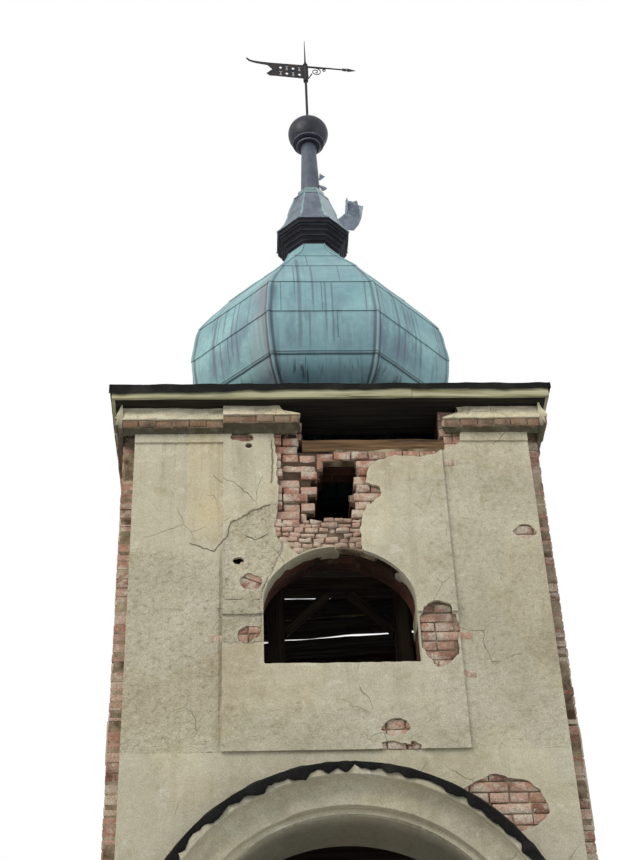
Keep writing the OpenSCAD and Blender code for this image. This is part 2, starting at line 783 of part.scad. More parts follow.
// Flag outline: swallow tail with a curled upper point, pierced with lozenges, slots and rounds
module flag_outline() {
  x0 = -hub_r + 4;
  body = -flag_l * 0.52;
  top = hub_h - 8;
  low = 22;
  difference() {
    polygon(concat([[x0, low], [x0, top]],
      spline([[body, top - 6], [-flag_l * 0.78, top - 2], [-flag_l * 0.93, top + 14],
        [-flag_l * 0.985, top + 46], [-flag_l, top + 34], [-flag_l * 0.95, top - 6],
        [-flag_l * 0.84, top - 30]], 5),
      [[-flag_l * 0.64, top - 48], [-flag_l * 0.56, (low + top) / 2],
        [-flag_l * 0.66, low + 34], [-flag_l * 0.60, low + 2], [body, low + 6]]));
    for (row = [0, 1]) for (i = [0 : 3]) {
      x = x0 - 48 - i * 68;
      z = low + 56 + row * 92;
      translate([x, z]) {
        if ((i + row) % 2 == 0) rotate(45) square(30, center = true);
        else {
          circle(r = 9, $fn = 16);
          for (s = [-1, 1]) translate([0, 24 * s]) square([26, 12], center = true);
        }
      }
    }
  }
}

module vane_flag() {
  color("#26282a") on_vane() round_hub() slab_y(-sheet_t / 2, sheet_t / 2) flag_outline();
}

// Arrow: round shaft, turned boss, star of two crossed lozenges and a flat head
module vane_arrow() {
  z = hub_h - 26;
  shaft_r = 8;
  star_x = arrow_l * 0.78;
  color("#2a2c2e") on_vane() round_hub() {
    translate([0, 0, z]) rotate([0, 90, 0]) cylinder(h = arrow_l * 0.9, r = shaft_r);
    slab_y(-4, 4) translate([arrow_l - 92, z]) polygon([[0, 26], [92, 0], [0, -26], [18, 0]]);
    slab_y(-5, 5) translate([star_x, z]) for (a = [0, 45, 90, 135]) rotate(a)
      polygon([[-32, 0], [0, 7], [32, 0], [0, -7]]);
  }
}

// Points of a spiral band: centre line radius falls evenly from r0 to r1 over the turn
function spiral(cx, cy, r0, r1, a0, a1, n) =
  [for (i = [0 : n]) let (t = i / n, a = a0 + (a1 - a0) * t, r = r0 + (r1 - r0) * t)
    [cx + r * cos(a), cy + r * sin(a)]];

// Scroll bracket under the arrow: a bar that rolls into a large and a small volute
module vane_scroll() {
  z = hub_h - 26 - shaft_drop;
  bar = 7;
  big = hub_r + 92;
  small = hub_r + 178;
  color("#2a2c2e") on_vane() round_hub() slab_y(-4, 4) {
    polygon([[hub_r - 4, 20], [hub_r + 9, 20], [hub_r + 9, z], [hub_r - 4, z]]);
    polygon(concat(spiral(big, z - 64, 62, 14, 90, -470, 44),
      reversed(spiral(big, z - 64, 62 - bar, 14 - bar, 90, -470, 44))));
    polygon(concat(spiral(small, z - 28, 26, 10, 90, -310, 28),
      reversed(spiral(small, z - 28, 26 - bar, 10 - bar, 90, -310, 28))));
    translate([hub_r, z - bar]) square([200, bar]);
    polygon([[hub_r + 4, 24], [hub_r + 12, 22], [hub_r + 52, z - 110], [hub_r + 42, z - 100]]);
  }
}

base_front_wall();
base_rear_wall();
base_left_wall();
base_right_wall();
portal_hoods();
hood_felt();
floor_joists();
floor_boards();
bell_front_wall();
bell_rear_wall();
bell_left_wall();
bell_right_wall();
impost_bands();
frieze_band();
cornice_front_left();
cornice_front_right();
cornice_left();
cornice_right();
cornice_rear();
front_wall_plate();
inner_posts();
tie_beam();
braces();
eaves_soffit();
fascia_boards();
roof_trimmer();
roof_rafters();
roof_felt_front();
roof_felt_left();
roof_felt_right();
roof_boards_rear();
roof_deck();
dome_curb();
dome_shell();
lantern_cornice();
spire_skirt();
torn_flap();
neck_collar();
spire_column();
ball();
rod();
vane_hub();
vane_flag();
vane_arrow();
vane_scroll();
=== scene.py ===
"""Looks of a ruined brick bell tower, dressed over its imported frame.

The walls are laid again as coursed brickwork under a coat of broken lime plaster, the dome is
seamed copper sheet, and the eaves are weathered boards and felt. Every new shape is a surface of
two parameters worked out as whole arrays, and every finish is a node material that reads object
coordinates or the piece's own attributes. Lengths are metres, +Z is up, the broken front is -Y.
"""
import logging
import math
from dataclasses import dataclass, field
from enum import Enum
from typing import Any, Callable

import bmesh
import bpy
import mathutils
import numpy as np
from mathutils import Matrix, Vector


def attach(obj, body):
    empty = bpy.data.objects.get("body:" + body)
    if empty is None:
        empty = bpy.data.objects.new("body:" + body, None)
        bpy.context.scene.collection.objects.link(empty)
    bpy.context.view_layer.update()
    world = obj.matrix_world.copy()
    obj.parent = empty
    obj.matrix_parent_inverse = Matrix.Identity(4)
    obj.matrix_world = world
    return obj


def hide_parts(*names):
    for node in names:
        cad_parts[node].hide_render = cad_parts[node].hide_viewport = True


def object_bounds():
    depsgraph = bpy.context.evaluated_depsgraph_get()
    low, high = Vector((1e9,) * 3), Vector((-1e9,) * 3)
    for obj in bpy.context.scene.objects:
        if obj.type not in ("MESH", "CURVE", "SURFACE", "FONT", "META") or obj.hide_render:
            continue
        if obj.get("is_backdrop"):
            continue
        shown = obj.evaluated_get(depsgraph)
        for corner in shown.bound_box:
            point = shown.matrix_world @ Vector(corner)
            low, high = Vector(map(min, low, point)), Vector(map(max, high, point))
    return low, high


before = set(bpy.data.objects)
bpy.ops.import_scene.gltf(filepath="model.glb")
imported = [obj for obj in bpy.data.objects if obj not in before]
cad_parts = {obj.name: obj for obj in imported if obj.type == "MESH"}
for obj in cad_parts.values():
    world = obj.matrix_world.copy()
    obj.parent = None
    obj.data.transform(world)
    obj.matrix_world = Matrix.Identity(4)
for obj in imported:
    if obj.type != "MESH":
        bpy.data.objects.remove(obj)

log = logging.getLogger("bell_tower")
Array = np.ndarray
Point = tuple[float, float, float] | Array
Mapper = Callable[[Array, Array, Array], Array]
Field = Callable[[Array, Array], Array]
Socket = bpy.types.NodeSocket
Pairs = tuple[tuple[float, float], ...]

HALF = 1.5
SIDE = 1.6
NOTCH = 0.12
BASE_TOP = 5.6
WALL_TOP = 8.5
EAVES_X = 1.68
EAVES_Y = 1.67
DECK_HALF = 0.875
EAVES_Z = 8.61
ROOF_RISE = 0.515
HEADER = 0.131
STRETCHER = 0.262
COURSE = 0.077
WELD = 0.0002
TAN_22 = math.tan(math.pi / 8)


def lattice(ix: Array, iy: Array, iz: Array, seed: int) -> Array:
    """Give each whole lattice point a repeatable number in 0..1 by mixing its bits."""
    h = (ix * 374761393 + iy * 668265263 + iz * 974634777 + seed * 1274126177) & 0xFFFFFFFF
    h = ((h ^ (h >> 13)) * 1274126177) & 0xFFFFFFFF
    return ((h ^ (h >> 16)) & 0xFFFF) / 65535.0


def value_noise(p: Array, seed: int) -> Array:
    """Blend lattice numbers with cube-smoothed fractions of the coordinates.

    Args:
        p: points, shape (..., 3), in lattice units.
        seed: picks the pattern.

    Returns:
        Smooth noise in -1..1, one number a point.
    """
    base = np.floor(p).astype(np.int64)
    f = p - base
    w = f * f * (3.0 - 2.0 * f)
    out = np.zeros(p.shape[:-1])
    for corner in range(8):
        d = [(corner >> k) & 1 for k in range(3)]
        share = np.ones(p.shape[:-1])
        for k in range(3):
            share = share * (w[..., k] if d[k] else 1.0 - w[..., k])
        out += share * lattice(base[..., 0] + d[0], base[..., 1] + d[1], base[..., 2] + d[2], seed)
    return out * 2.0 - 1.0


def fbm(p: Array, size: float, seed: int, octaves: int = 3) -> Array:
    """Sum octaves of noise, each half the size and half the height of the last.

    Args:
        p: points, shape (..., 3), in metres.
        size: width of the largest lumps, in metres.
        seed: picks the pattern.
        octaves: how many layers are summed.

    Returns:
        Noise of about -1..1.
    """
    total = np.zeros(p.shape[:-1])
    for k in range(octaves):
        total += value_noise(p * (2.0**k / size) + 17.3 * k, seed + k) / 2.0**k
    return total / 1.5


def flat_noise(u: Array, v: Array, size: float, seed: int, octaves: int = 3) -> Array:
    """Noise over a plane, from two coordinates in metres."""
    return fbm(np.stack([u, v, np.full_like(u, seed * 0.37)], -1), size, seed, octaves)


def smooth_step(x: Array, low: float, high: float) -> Array:
    """Rise from 0 at low to 1 at high with level ends."""
    t = np.clip((x - low) / (high - low), 0.0, 1.0)
    return t * t * (3.0 - 2.0 * t)


def ruled(low: float, high: float, step: float, extra: tuple[float, ...] = ()) -> Array:
    """Even grid lines from low to high, with a close pair of lines at each extra place.

    Args:
        low: first line.
        high: last line.
        step: spacing aimed at.
        extra: places where the surface steps.

    Returns:
        The lines in order; an even one too near a pair is left out.
    """
    count = max(2, int(round((high - low) / step)) + 1)
    marks = [e + d for e in extra for d in (-0.0015, 0.0015) if low < e + d < high]
    even = np.linspace(low, high, count)
    if marks:
        near = np.min(np.abs(even[:, None] - np.array(marks)[None, :]), axis=1) < 0.3 * step
        near[[0, -1]] = False
        even = even[~near]
    return np.unique(np.concatenate([even, np.array(marks)]))


def rise_curve(knots: Array, count: int) -> Array:
    """Smooth curve through knots: the cubic blend of four neighbours that the frame uses too.

    Args:
        knots: points, shape (n, 2).
        count: points wanted between two knots.

    Returns:
        Points of the curve, the last knot included.
    """
    p = np.vstack([knots[:1], knots, knots[-1:]])
    t = (np.arange(count) / count)[None, :, None]
    p0, p1, p2, p3 = (p[k : k + len(knots) - 1][:, None, :] for k in range(4))
    body = 0.5 * (
        2 * p1 + (p2 - p0) * t + (2 * p0 - 5 * p1 + 4 * p2 - p3) * t**2 + (3 * p1 - p0 - 3 * p2 + p3) * t**3
    )
    return np.vstack([body.reshape(-1, 2), knots[-1:]])


def polygon_distance(u: Array, v: Array, corners: Array) -> Array:
    """Signed distance to a closed outline, positive inside.

    Args:
        u: across, any shape.
        v: up, the same shape.
        corners: outline corners in order, shape (n, 2).

    Returns:
        Distance to the nearest side; its sign comes from counting the sides crossed to the right.
    """
    nearest = np.full(u.shape, 1e9)
    inside = np.zeros(u.shape, bool)
    for a, b in zip(corners, np.roll(corners, -1, axis=0)):
        e = b - a
        t = np.clip(((u - a[0]) * e[0] + (v - a[1]) * e[1]) / (e @ e), 0.0, 1.0)
        nearest = np.minimum(nearest, np.hypot(u - a[0] - t * e[0], v - a[1] - t * e[1]))
        if a[1] != b[1]:
            crosses = (a[1] > v) != (b[1] > v)
            inside ^= crosses & (u < a[0] + (v - a[1]) * e[0] / e[1])
    return np.where(inside, nearest, -nearest)


@dataclass
class Shape:
    """Vertices, faces and per-vertex values of a piece while it is being built."""

    verts: Array
    faces: list[Array]
    values: dict[str, Array] = field(default_factory=dict)

    @staticmethod
    def join(shapes: list["Shape"]) -> "Shape":
        """Put several shapes into one, keeping every value that they share.

        Args:
            shapes: the shapes, in order.

        Returns:
            All of them as one shape.
        """
        offset, faces = 0, []
        for s in shapes:
            faces += [f + offset for f in s.faces]
            offset += len(s.verts)
        keys = set.intersection(*[set(s.values) for s in shapes])
        values = {k: np.concatenate([s.values[k] for s in shapes]) for k in keys}
        return Shape(np.concatenate([s.verts for s in shapes]), faces, values)

    def piece(
        self,
        name: str,
        finish: "Finish",
        slot: str,
        stands_for: tuple[str, ...] = (),
        body: str = "tower",
        smooth: float = 40.0,
        mend: bool = False,
    ) -> bpy.types.Object:
        """Make the Blender object, put it on its body and hide the frame nodes that it stands for.

        Args:
            name: object name.
            finish: its finish.
            slot: not used.
            stands_for: frame nodes that this piece replaces.
            body: body that it rides on.
            smooth: angle in degrees above which an edge stays sharp; 0 leaves all faces flat.
            mend: turns the faces of a closed piece outwards.

        Returns:
            The new object.
        """
        mesh = bpy.data.meshes.new(name)
        mesh.vertices.add(len(self.verts))
        mesh.vertices.foreach_set("co", np.ascontiguousarray(self.verts, np.float32).ravel())
        loops = np.concatenate([f.ravel() for f in self.faces]).astype(np.int32)
        sizes = np.concatenate([np.full(len(f), f.shape[1]) for f in self.faces])
        mesh.loops.add(len(loops))
        mesh.loops.foreach_set("vertex_index", loops)
        mesh.polygons.add(len(sizes))
        starts = np.concatenate([[0], np.cumsum(sizes)[:-1]]).astype(np.int32)
        mesh.polygons.foreach_set("loop_start", starts)
        mesh.update(calc_edges=True)
        for key, data in self.values.items():
            kind = "FLOAT" if data.ndim == 1 else "FLOAT_VECTOR"
            layer = mesh.attributes.new(key, kind, "POINT")
            layer.data.foreach_set("value" if data.ndim == 1 else "vector", data.astype(np.float32).ravel())
        if mend:
            turn_outwards(mesh)
        mesh.validate()
        if smooth:
            mesh.polygons.foreach_set("use_smooth", np.ones(len(mesh.polygons), bool))
            mesh.set_sharp_from_angle(angle=math.radians(smooth))
        return show(mesh, finish, stands_for, body)


def show(
    mesh: bpy.types.Mesh, finish: "Finish", stands_for: tuple[str, ...], body: str = "tower"
) -> bpy.types.Object:
    """Put a finished mesh into the scene, on its body, and hide the frame nodes that it replaces.

    Args:
        mesh: the mesh; its object takes the same name.
        finish: its finish.
        stands_for: frame nodes that it replaces.
        body: body that it rides on.

    Returns:
        The new object.
    """
    mesh.materials.clear()
    mesh.materials.append(STORE.get(finish))
    made = bpy.data.objects.new(mesh.name, mesh)
    bpy.context.scene.collection.objects.link(made)
    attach(made, body)
    if stands_for:
        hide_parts(*stands_for)
    log.info("%s: %d faces", mesh.name, len(mesh.polygons))
    return made


def turn_outwards(mesh: bpy.types.Mesh) -> None:
    """Recalculate the facing of a closed mesh so that all faces look outwards.

    Args:
        mesh: mesh to turn, in place.
    """
    work = bmesh.new()
    work.from_mesh(mesh)
    bmesh.ops.recalc_face_normals(work, faces=work.faces)
    work.to_mesh(mesh)
    work.free()


def grid_faces(rows: int, cols: int, round_cols: bool = False) -> Array:
    """Quads of a grid of points stored row by row.

    Args:
        rows: how many rows of points.
        cols: points in a row.
        round_cols: the last column joins the first.

    Returns:
        Corners of each quad, shape (n, 4).
    """
    wide = cols if round_cols else cols - 1
    a, b = np.meshgrid(np.arange(rows - 1), np.arange(wide), indexing="ij")
    a2, b2 = a + 1, (b + 1) % cols
    return np.stack([a * cols + b, a * cols + b2, a2 * cols + b2, a2 * cols + b], -1).reshape(-1, 4)


@dataclass(frozen=True)
class Wall:
    """Plane of a wall face: u runs across, v is the height and n stands out of the face."""

    origin: tuple[float, float]
    across: tuple[float, float]

    def __call__(self, u: Array, v: Array, n: Array) -> Array:
        """Point of the frame: origin plus u along the face, plus n along its outward normal.

        Args:
            u: metres across.
            v: height.
            n: metres out of the face.

        Returns:
            Points, shape (..., 3).
        """
        ax, ay = self.across
        x = self.origin[0] + ax * u + ay * n
        y = self.origin[1] + ay * u - ax * n
        return np.stack([x, y, v + 0.0 * n], -1)


FRONT = Wall((0.0, -HALF), (1.0, 0.0))
REAR = Wall((0.0, HALF), (-1.0, 0.0))
RIGHT = Wall((SIDE, 0.0), (0.0, 1.0))
LEFT = Wall((-SIDE, 0.0), (0.0, -1.0))


@dataclass(frozen=True)
class Opening:
    """An arched opening: half width, foot, springing, rise and radius of the tight haunch arcs."""

    half: float
    foot: float
    spring: float
    rise: float
    haunch: float
    wall: float

    @property
    def crown(self) -> float:
        """Radius of the wide crown arc; equal to the haunch in a half-round arch."""
        if self.rise >= self.half:
            return self.half
        wide = self.half - self.haunch
        return (wide**2 + self.rise**2 - self.haunch**2) / (2 * (self.rise - self.haunch))

    def signed(self, u: Array, v: Array) -> Array:
        """Distance out of the opening, negative inside: straight jambs below, three arcs above.

        Args:
            u: across from the middle of the opening.
            v: height.

        Returns:
            Signed distance at each place.
        """
        side = np.maximum(np.abs(u) - self.half, self.foot - v)
        h = v - self.spring
        wide = self.half - self.haunch
        low = self.rise - self.crown
        arc_c = np.hypot(u, h - low) - self.crown
        arc_h = np.hypot(np.abs(u) - wide, h) - self.haunch
        in_crown = np.abs(u) * -low <= wide * (h - low)
        above = np.where(in_crown, arc_c, arc_h)
        return np.where(h > 0, above, side)

    def half_at(self, v: float, ring: float) -> float:
        """Half width taken by the opening at a height, with a ring of that thickness round its arch.

        Args:
            v: height.
            ring: thickness of the ring of bricks.

        Returns:
            Half width, 0 above and below the opening.
        """
        if v < self.foot or v > self.spring + self.rise + ring:
            return 0.0
        if v <= self.spring:
            return self.half
        u = np.linspace(0.0, self.half + ring + 0.05, 400)
        inside = self.signed(u, np.full_like(u, v)) < ring
        return float(u[inside].max()) if inside.any() else 0.0

    def path(self, step: float = 0.02) -> tuple[Array, Array, Array]:
        """Edge of the opening from the left foot, over the arch, to the right foot.

        Args:
            step: spacing of its points.

        Returns:
            Points, unit normals into the masonry, and length along the edge at each point.
        """
        up = np.linspace(self.foot, self.spring, max(2, int((self.spring - self.foot) / step)))
        wide, low = self.half - self.haunch, self.rise - self.crown
        turn = math.atan2(wide, -low) if self.crown > self.haunch else 0.0
        lift = math.pi / 2 - turn
        arcs = [(-wide, 0.0, self.haunch, math.pi, math.pi - lift), (wide, 0.0, self.haunch, lift, 0.0)]
        if turn:
            arcs.insert(1, (0.0, low, self.crown, math.pi / 2 + turn, math.pi / 2 - turn))
        points = [np.stack([np.full_like(up, -self.half), up], -1)]
        normals = [np.tile([-1.0, 0.0], (len(up), 1))]
        for cx, cy, r, a0, a1 in arcs:
            a = np.linspace(a0, a1, max(3, int(abs(a1 - a0) * r / step)))[1:]
            ray = np.stack([np.cos(a), np.sin(a)], -1)
            points.append(ray * r + [cx, self.spring + cy])
            normals.append(ray)
        points.append(np.stack([np.full_like(up, self.half), up[::-1]], -1)[1:])
        normals.append(np.tile([1.0, 0.0], (len(up) - 1, 1)))
        p, n = np.concatenate(points), np.concatenate(normals)
        run = np.concatenate([[0.0], np.cumsum(np.hypot(*np.diff(p, axis=0).T))])
        return p, n, run

    def reveal(self, wall: Wall) -> Mapper:
        """Mapping for the inside of the opening: u goes into the wall, v along the edge, n to the middle."""
        return lambda u, v, n: wall(*self.beside(v, -n), -u)

    def beside(self, run: Array, out: Array) -> tuple[Array, Array]:
        """Across and up of places given along the edge and away from it, into the masonry.

        Args:
            run: length along the edge.
            out: distance from the edge.

        Returns:
            Across and up of each place.
        """
        p, m, length = self.path()
        x, z, mx, mz = (np.interp(run, length, line) for line in (*p.T, *m.T))
        return x + mx * out, z + mz * out


WINDOW = Opening(0.55, 6.25, 6.75, 0.475, 0.40, 0.3)
GATE = Opening(1.09, 0.0, 4.07, 1.09, 1.09, 0.5)


def lay_bricks(
    place: Mapper, boxes: Array, seed: int, wear: float, wobble: float,
    tones: tuple[float, float] = (0.0, 1.0),
) -> Shape:
    """Turn boxes into worn bricks with a chipped front.

    The front is a grid of five by four points; its outer ring stands back by the chamfer, noise
    pushes every point in and out, and the ring is carried back to the hidden face.

    Args:
        place: mapping from across, up and outward to the frame.
        boxes: one row a brick: u0, u1, v0, v1, front, back.
        seed: picks the wear.
        wear: height of the wear.
        wobble: how far its outline strays from a rectangle.
        tones: range of the random tones.

    Returns:
        All bricks as one shape, with a random tone for each.
    """
    rng = np.random.default_rng(seed)
    n = len(boxes)
    u0, u1, v0, v1, front, back = (boxes[:, k : k + 1] for k in range(6))
    e = np.minimum(0.007, 0.25 * (u1 - u0))
    us = np.concatenate([u0, u0 + e, (u0 + u1) / 2, u1 - e, u1], 1)[:, None, :] * np.ones((1, 4, 1))
    vs = np.concatenate([v0, v0 + e, v1 - e, v1], 1)[:, :, None] * np.ones((1, 1, 5))
    ring = np.ones((4, 5), bool)
    ring[1:3, 1:4] = False
    corner = np.zeros((4, 5))
    corner[::3, ::4] = 0.006
    depth = front[:, :, None] - 0.005 * ring - corner
    key = np.stack([us, vs, np.arange(n)[:, None, None] * 0.71 + 0 * us], -1)
    depth = depth + wear * fbm(key, 0.045, seed, 2) + 1.2 * wear * (rng.random((n, 1, 1)) - 0.5)
    us = us + wobble * value_noise(key * 31.0, seed + 5)
    vs = vs + wobble * value_noise(key * 31.0, seed + 6)
    r = np.array([0] * 5 + [1, 2] + [3] * 5 + [2, 1])
    c = np.array([0, 1, 2, 3, 4, 4, 4, 4, 3, 2, 1, 0, 0, 0])
    ub, vb = us[:, r, c], vs[:, r, c]
    pu = np.concatenate([us.reshape(n, 20), ub], 1)
    pv = np.concatenate([vs.reshape(n, 20), vb], 1)
    pn = np.concatenate([depth.reshape(n, 20), np.repeat(back, 14, 1)], 1)
    verts = place(pu, pv, pn).reshape(-1, 3)
    edge, nxt = r * 5 + c, np.roll(r * 5 + c, -1)
    rear = 20 + np.arange(14)
    sides = np.stack([nxt, edge, rear, np.roll(rear, -1)], -1)
    quads = np.concatenate([grid_faces(4, 5), sides])
    hop = (np.arange(n) * 34)[:, None, None]
    faces = [(quads[None] + hop).reshape(-1, 4), (rear[::-1][None, None] + hop).reshape(-1, 14)]
    own = np.repeat(tones[0] + (tones[1] - tones[0]) * rng.random(n), 34)
    return Shape(verts, faces, {"tone": own})


def bond(u0: float, u1: float, lines: Array, seed: int, joint: float = 0.011) -> Array:
    """Lay out courses of an old cross bond: a course of stretchers, then a course of headers.

    Args:
        u0: start of the wall.
        u1: end of the wall.
        lines: heights of the bed joints.
        seed: picks the small errors of the bricklayer.
        joint: joint width.

    Returns:
        One row a brick: u0, u1, v0, v1.
    """
    rng = np.random.default_rng(seed)
    rows = []
    for k in range(len(lines) - 1):
        pitch = STRETCHER if k % 2 else HEADER
        start = u0 - pitch * (0.25 if k % 4 == 1 else 0.75 if k % 4 == 3 else 0.5)
        cuts = np.arange(start, u1 + pitch, pitch)
        cuts = cuts[(cuts > u0 + 0.05) & (cuts < u1 - 0.05)] + rng.normal(0, 0.003, 1)
        ends = np.concatenate([[u0], cuts, [u1]])
        g = 0.5 * joint
        first = np.where(np.arange(len(ends) - 1) == 0, 0.0, g)
        last = np.where(np.arange(len(ends) - 1) == len(ends) - 2, 0.0, g)
        low, high = (np.full(len(first), v) for v in (lines[k] + g, lines[k + 1] - g))
        rows.append(np.stack([ends[:-1] + first, ends[1:] - last, low, high], -1))
    return np.concatenate(rows)


def middles(boxes: Array) -> tuple[Array, Array]:
    """Middle of each box across and up."""
    return 0.5 * (boxes[:, 0] + boxes[:, 1]), 0.5 * (boxes[:, 2] + boxes[:, 3])


def cut_away(boxes: Array, low: Array, high: Array, shortest: float = 0.035) -> Array:
    """Cut bricks back from a gap that each may have its own limits.

    Args:
        boxes: rows of u0, u1, v0, v1.
        low: left limit of the gap at each brick.
        high: right limit; a brick with low >= high isn't cut.
        shortest: stubs below this length are dropped.

    Returns:
        The bricks that are left.
    """
    gap = low < high
    left = boxes.copy()
    left[:, 1] = np.where(gap, np.minimum(boxes[:, 1], low), boxes[:, 1])
    right = boxes[gap].copy()
    right[:, 0] = np.maximum(right[:, 0], high[gap])
    out = np.concatenate([left, right])
    return out[(out[:, 1] - out[:, 0]) > shortest]


def masked_sheet(
    us: Array,
    vs: Array,
    keep: Field,
    height: Field,
    depth: Field,
    place: Mapper,
    marks: dict[str, Field] | None = None,
) -> Shape:
    """A thin coat over part of a face, with clean broken edges.

    The coat is there where keep is positive. A grid point just outside is drawn along the grid to
    the place where keep crosses zero, cells that touch the coat are kept, and the open edge is
    turned back by depth.

    Args:
        us: grid lines across.
        vs: grid lines up.
        keep: signed distance into the coat.
        height: how far the coat stands out of the face.
        depth: length of the turned-back edge.
        place: mapping to the frame.
        marks: further values of the coat, each from across and up.

    Returns:
        The coat, with a value "rim" that is 1 at its edge and falls to 0 inside.
    """
    u, v = np.meshgrid(us, vs)
    f = keep(u, v)
    rows, cols = f.shape
    fp = np.pad(f, 1, constant_values=-1.0)
    up, vp = np.pad(u, 1, mode="edge"), np.pad(v, 1, mode="edge")
    moves = {True: np.zeros((3, rows, cols)), False: np.zeros((3, rows, cols))}
    for di in (-1, 0, 1):
        for dj in (-1, 0, 1):
            if di == dj == 0:
                continue
            fn = fp[1 + di : rows + 1 + di, 1 + dj : cols + 1 + dj]
            un = up[1 + di : rows + 1 + di, 1 + dj : cols + 1 + dj]
            vn = vp[1 + di : rows + 1 + di, 1 + dj : cols + 1 + dj]
            hit = (fn > 0) & (f <= 0)
            t = np.where(hit, f / np.where(hit, f - fn, 1.0), 0.0)
            moves[di * dj == 0] += np.stack([hit * (un - u) * t, hit * (vn - v) * t, hit * 1.0])
    straight, slant = moves[True], moves[False]
    pick = np.where(straight[2] > 0, straight, slant)
    weight = np.maximum(pick[2], 1.0)
    u2, v2 = u + pick[0] / weight, v + pick[1] / weight
    quads = grid_faces(rows, cols)
    on = (f > 0).ravel()
    quads = quads[on[quads].any(axis=1)]
    uf, vf = u2.ravel(), v2.ravel()
    a, b = quads.ravel(), np.roll(quads, -1, axis=1).ravel()
    total = rows * cols
    lone = ~np.isin(a * total + b, b * total + a)
    a, b = a[lone], b[lone]
    rim = np.unique(np.concatenate([a, b]))
    back = np.full(total, -1)
    back[rim] = total + np.arange(len(rim))
    skirt = np.stack([b, a, back[a], back[b]], -1)
    uu, vv = np.concatenate([uf, uf[rim]]), np.concatenate([vf, vf[rim]])
    n = height(uf, vf)
    nn = np.concatenate([n, n[rim] - depth(uf[rim], vf[rim])])
    edge = np.exp(-np.maximum(np.concatenate([f.ravel(), np.zeros(len(rim))]), 0.0) / 0.02)
    quads = np.concatenate([quads, skirt])
    used, new = np.unique(quads, return_inverse=True)
    values = {key: mark(uu, vv)[used] for key, mark in (marks or {}).items()}
    return Shape(place(uu, vv, nn)[used], [new.reshape(-1, 4)], {"rim": edge[used], **values})


@dataclass(frozen=True)
class Loss:
    """A patch where the plaster has fallen: a ragged ellipse."""

    u: float
    v: float
    ru: float
    rv: float

    def inside(self, u: Array, v: Array) -> Array:
        """Distance into the patch, scaled by its smaller radius."""
        return (1.0 - np.hypot((u - self.u) / self.ru, (v - self.v) / self.rv)) * min(self.ru, self.rv)


class Value:
    """One number of a shader; Python's operators on it add Math nodes."""

    def __init__(self, board: "Board", socket: Socket) -> None:
        """Wrap a socket of a board."""
        self.board = board
        self.socket = socket

    def __add__(self, other: Any) -> "Value":
        """Sum."""
        return self.board.maths("ADD", self, other)

    __radd__ = __add__

    def __sub__(self, other: Any) -> "Value":
        """Difference."""
        return self.board.maths("SUBTRACT", self, other)

    def __rsub__(self, other: Any) -> "Value":
        """Difference, the other way round."""
        return self.board.maths("SUBTRACT", other, self)

    def __mul__(self, other: Any) -> "Value":
        """Product."""
        return self.board.maths("MULTIPLY", self, other)

    __rmul__ = __mul__

    def __truediv__(self, other: Any) -> "Value":
        """Quotient."""
        return self.board.maths("DIVIDE", self, other)

    def __abs__(self) -> "Value":
        """Size without its sign."""
        return self.board.maths("ABSOLUTE", self)

    def __gt__(self, other: Any) -> "Value":
        """1 where this is more than the other."""
        return self.board.maths("GREATER_THAN", self, other)

    def __lt__(self, other: Any) -> "Value":
        """1 where this is less than the other."""
        return self.board.maths("LESS_THAN", self, other)

    def band(self, low: float, high: float) -> "Value":
        """0 below low, 1 above high, straight between; low may be the larger."""
        return self.board.maths("ADD", (self - low) / (high - low), 0.0, clamp=True)

    def power(self, exponent: float) -> "Value":
        """Size raised to a power."""
        return self.board.maths("POWER", abs(self), exponent)


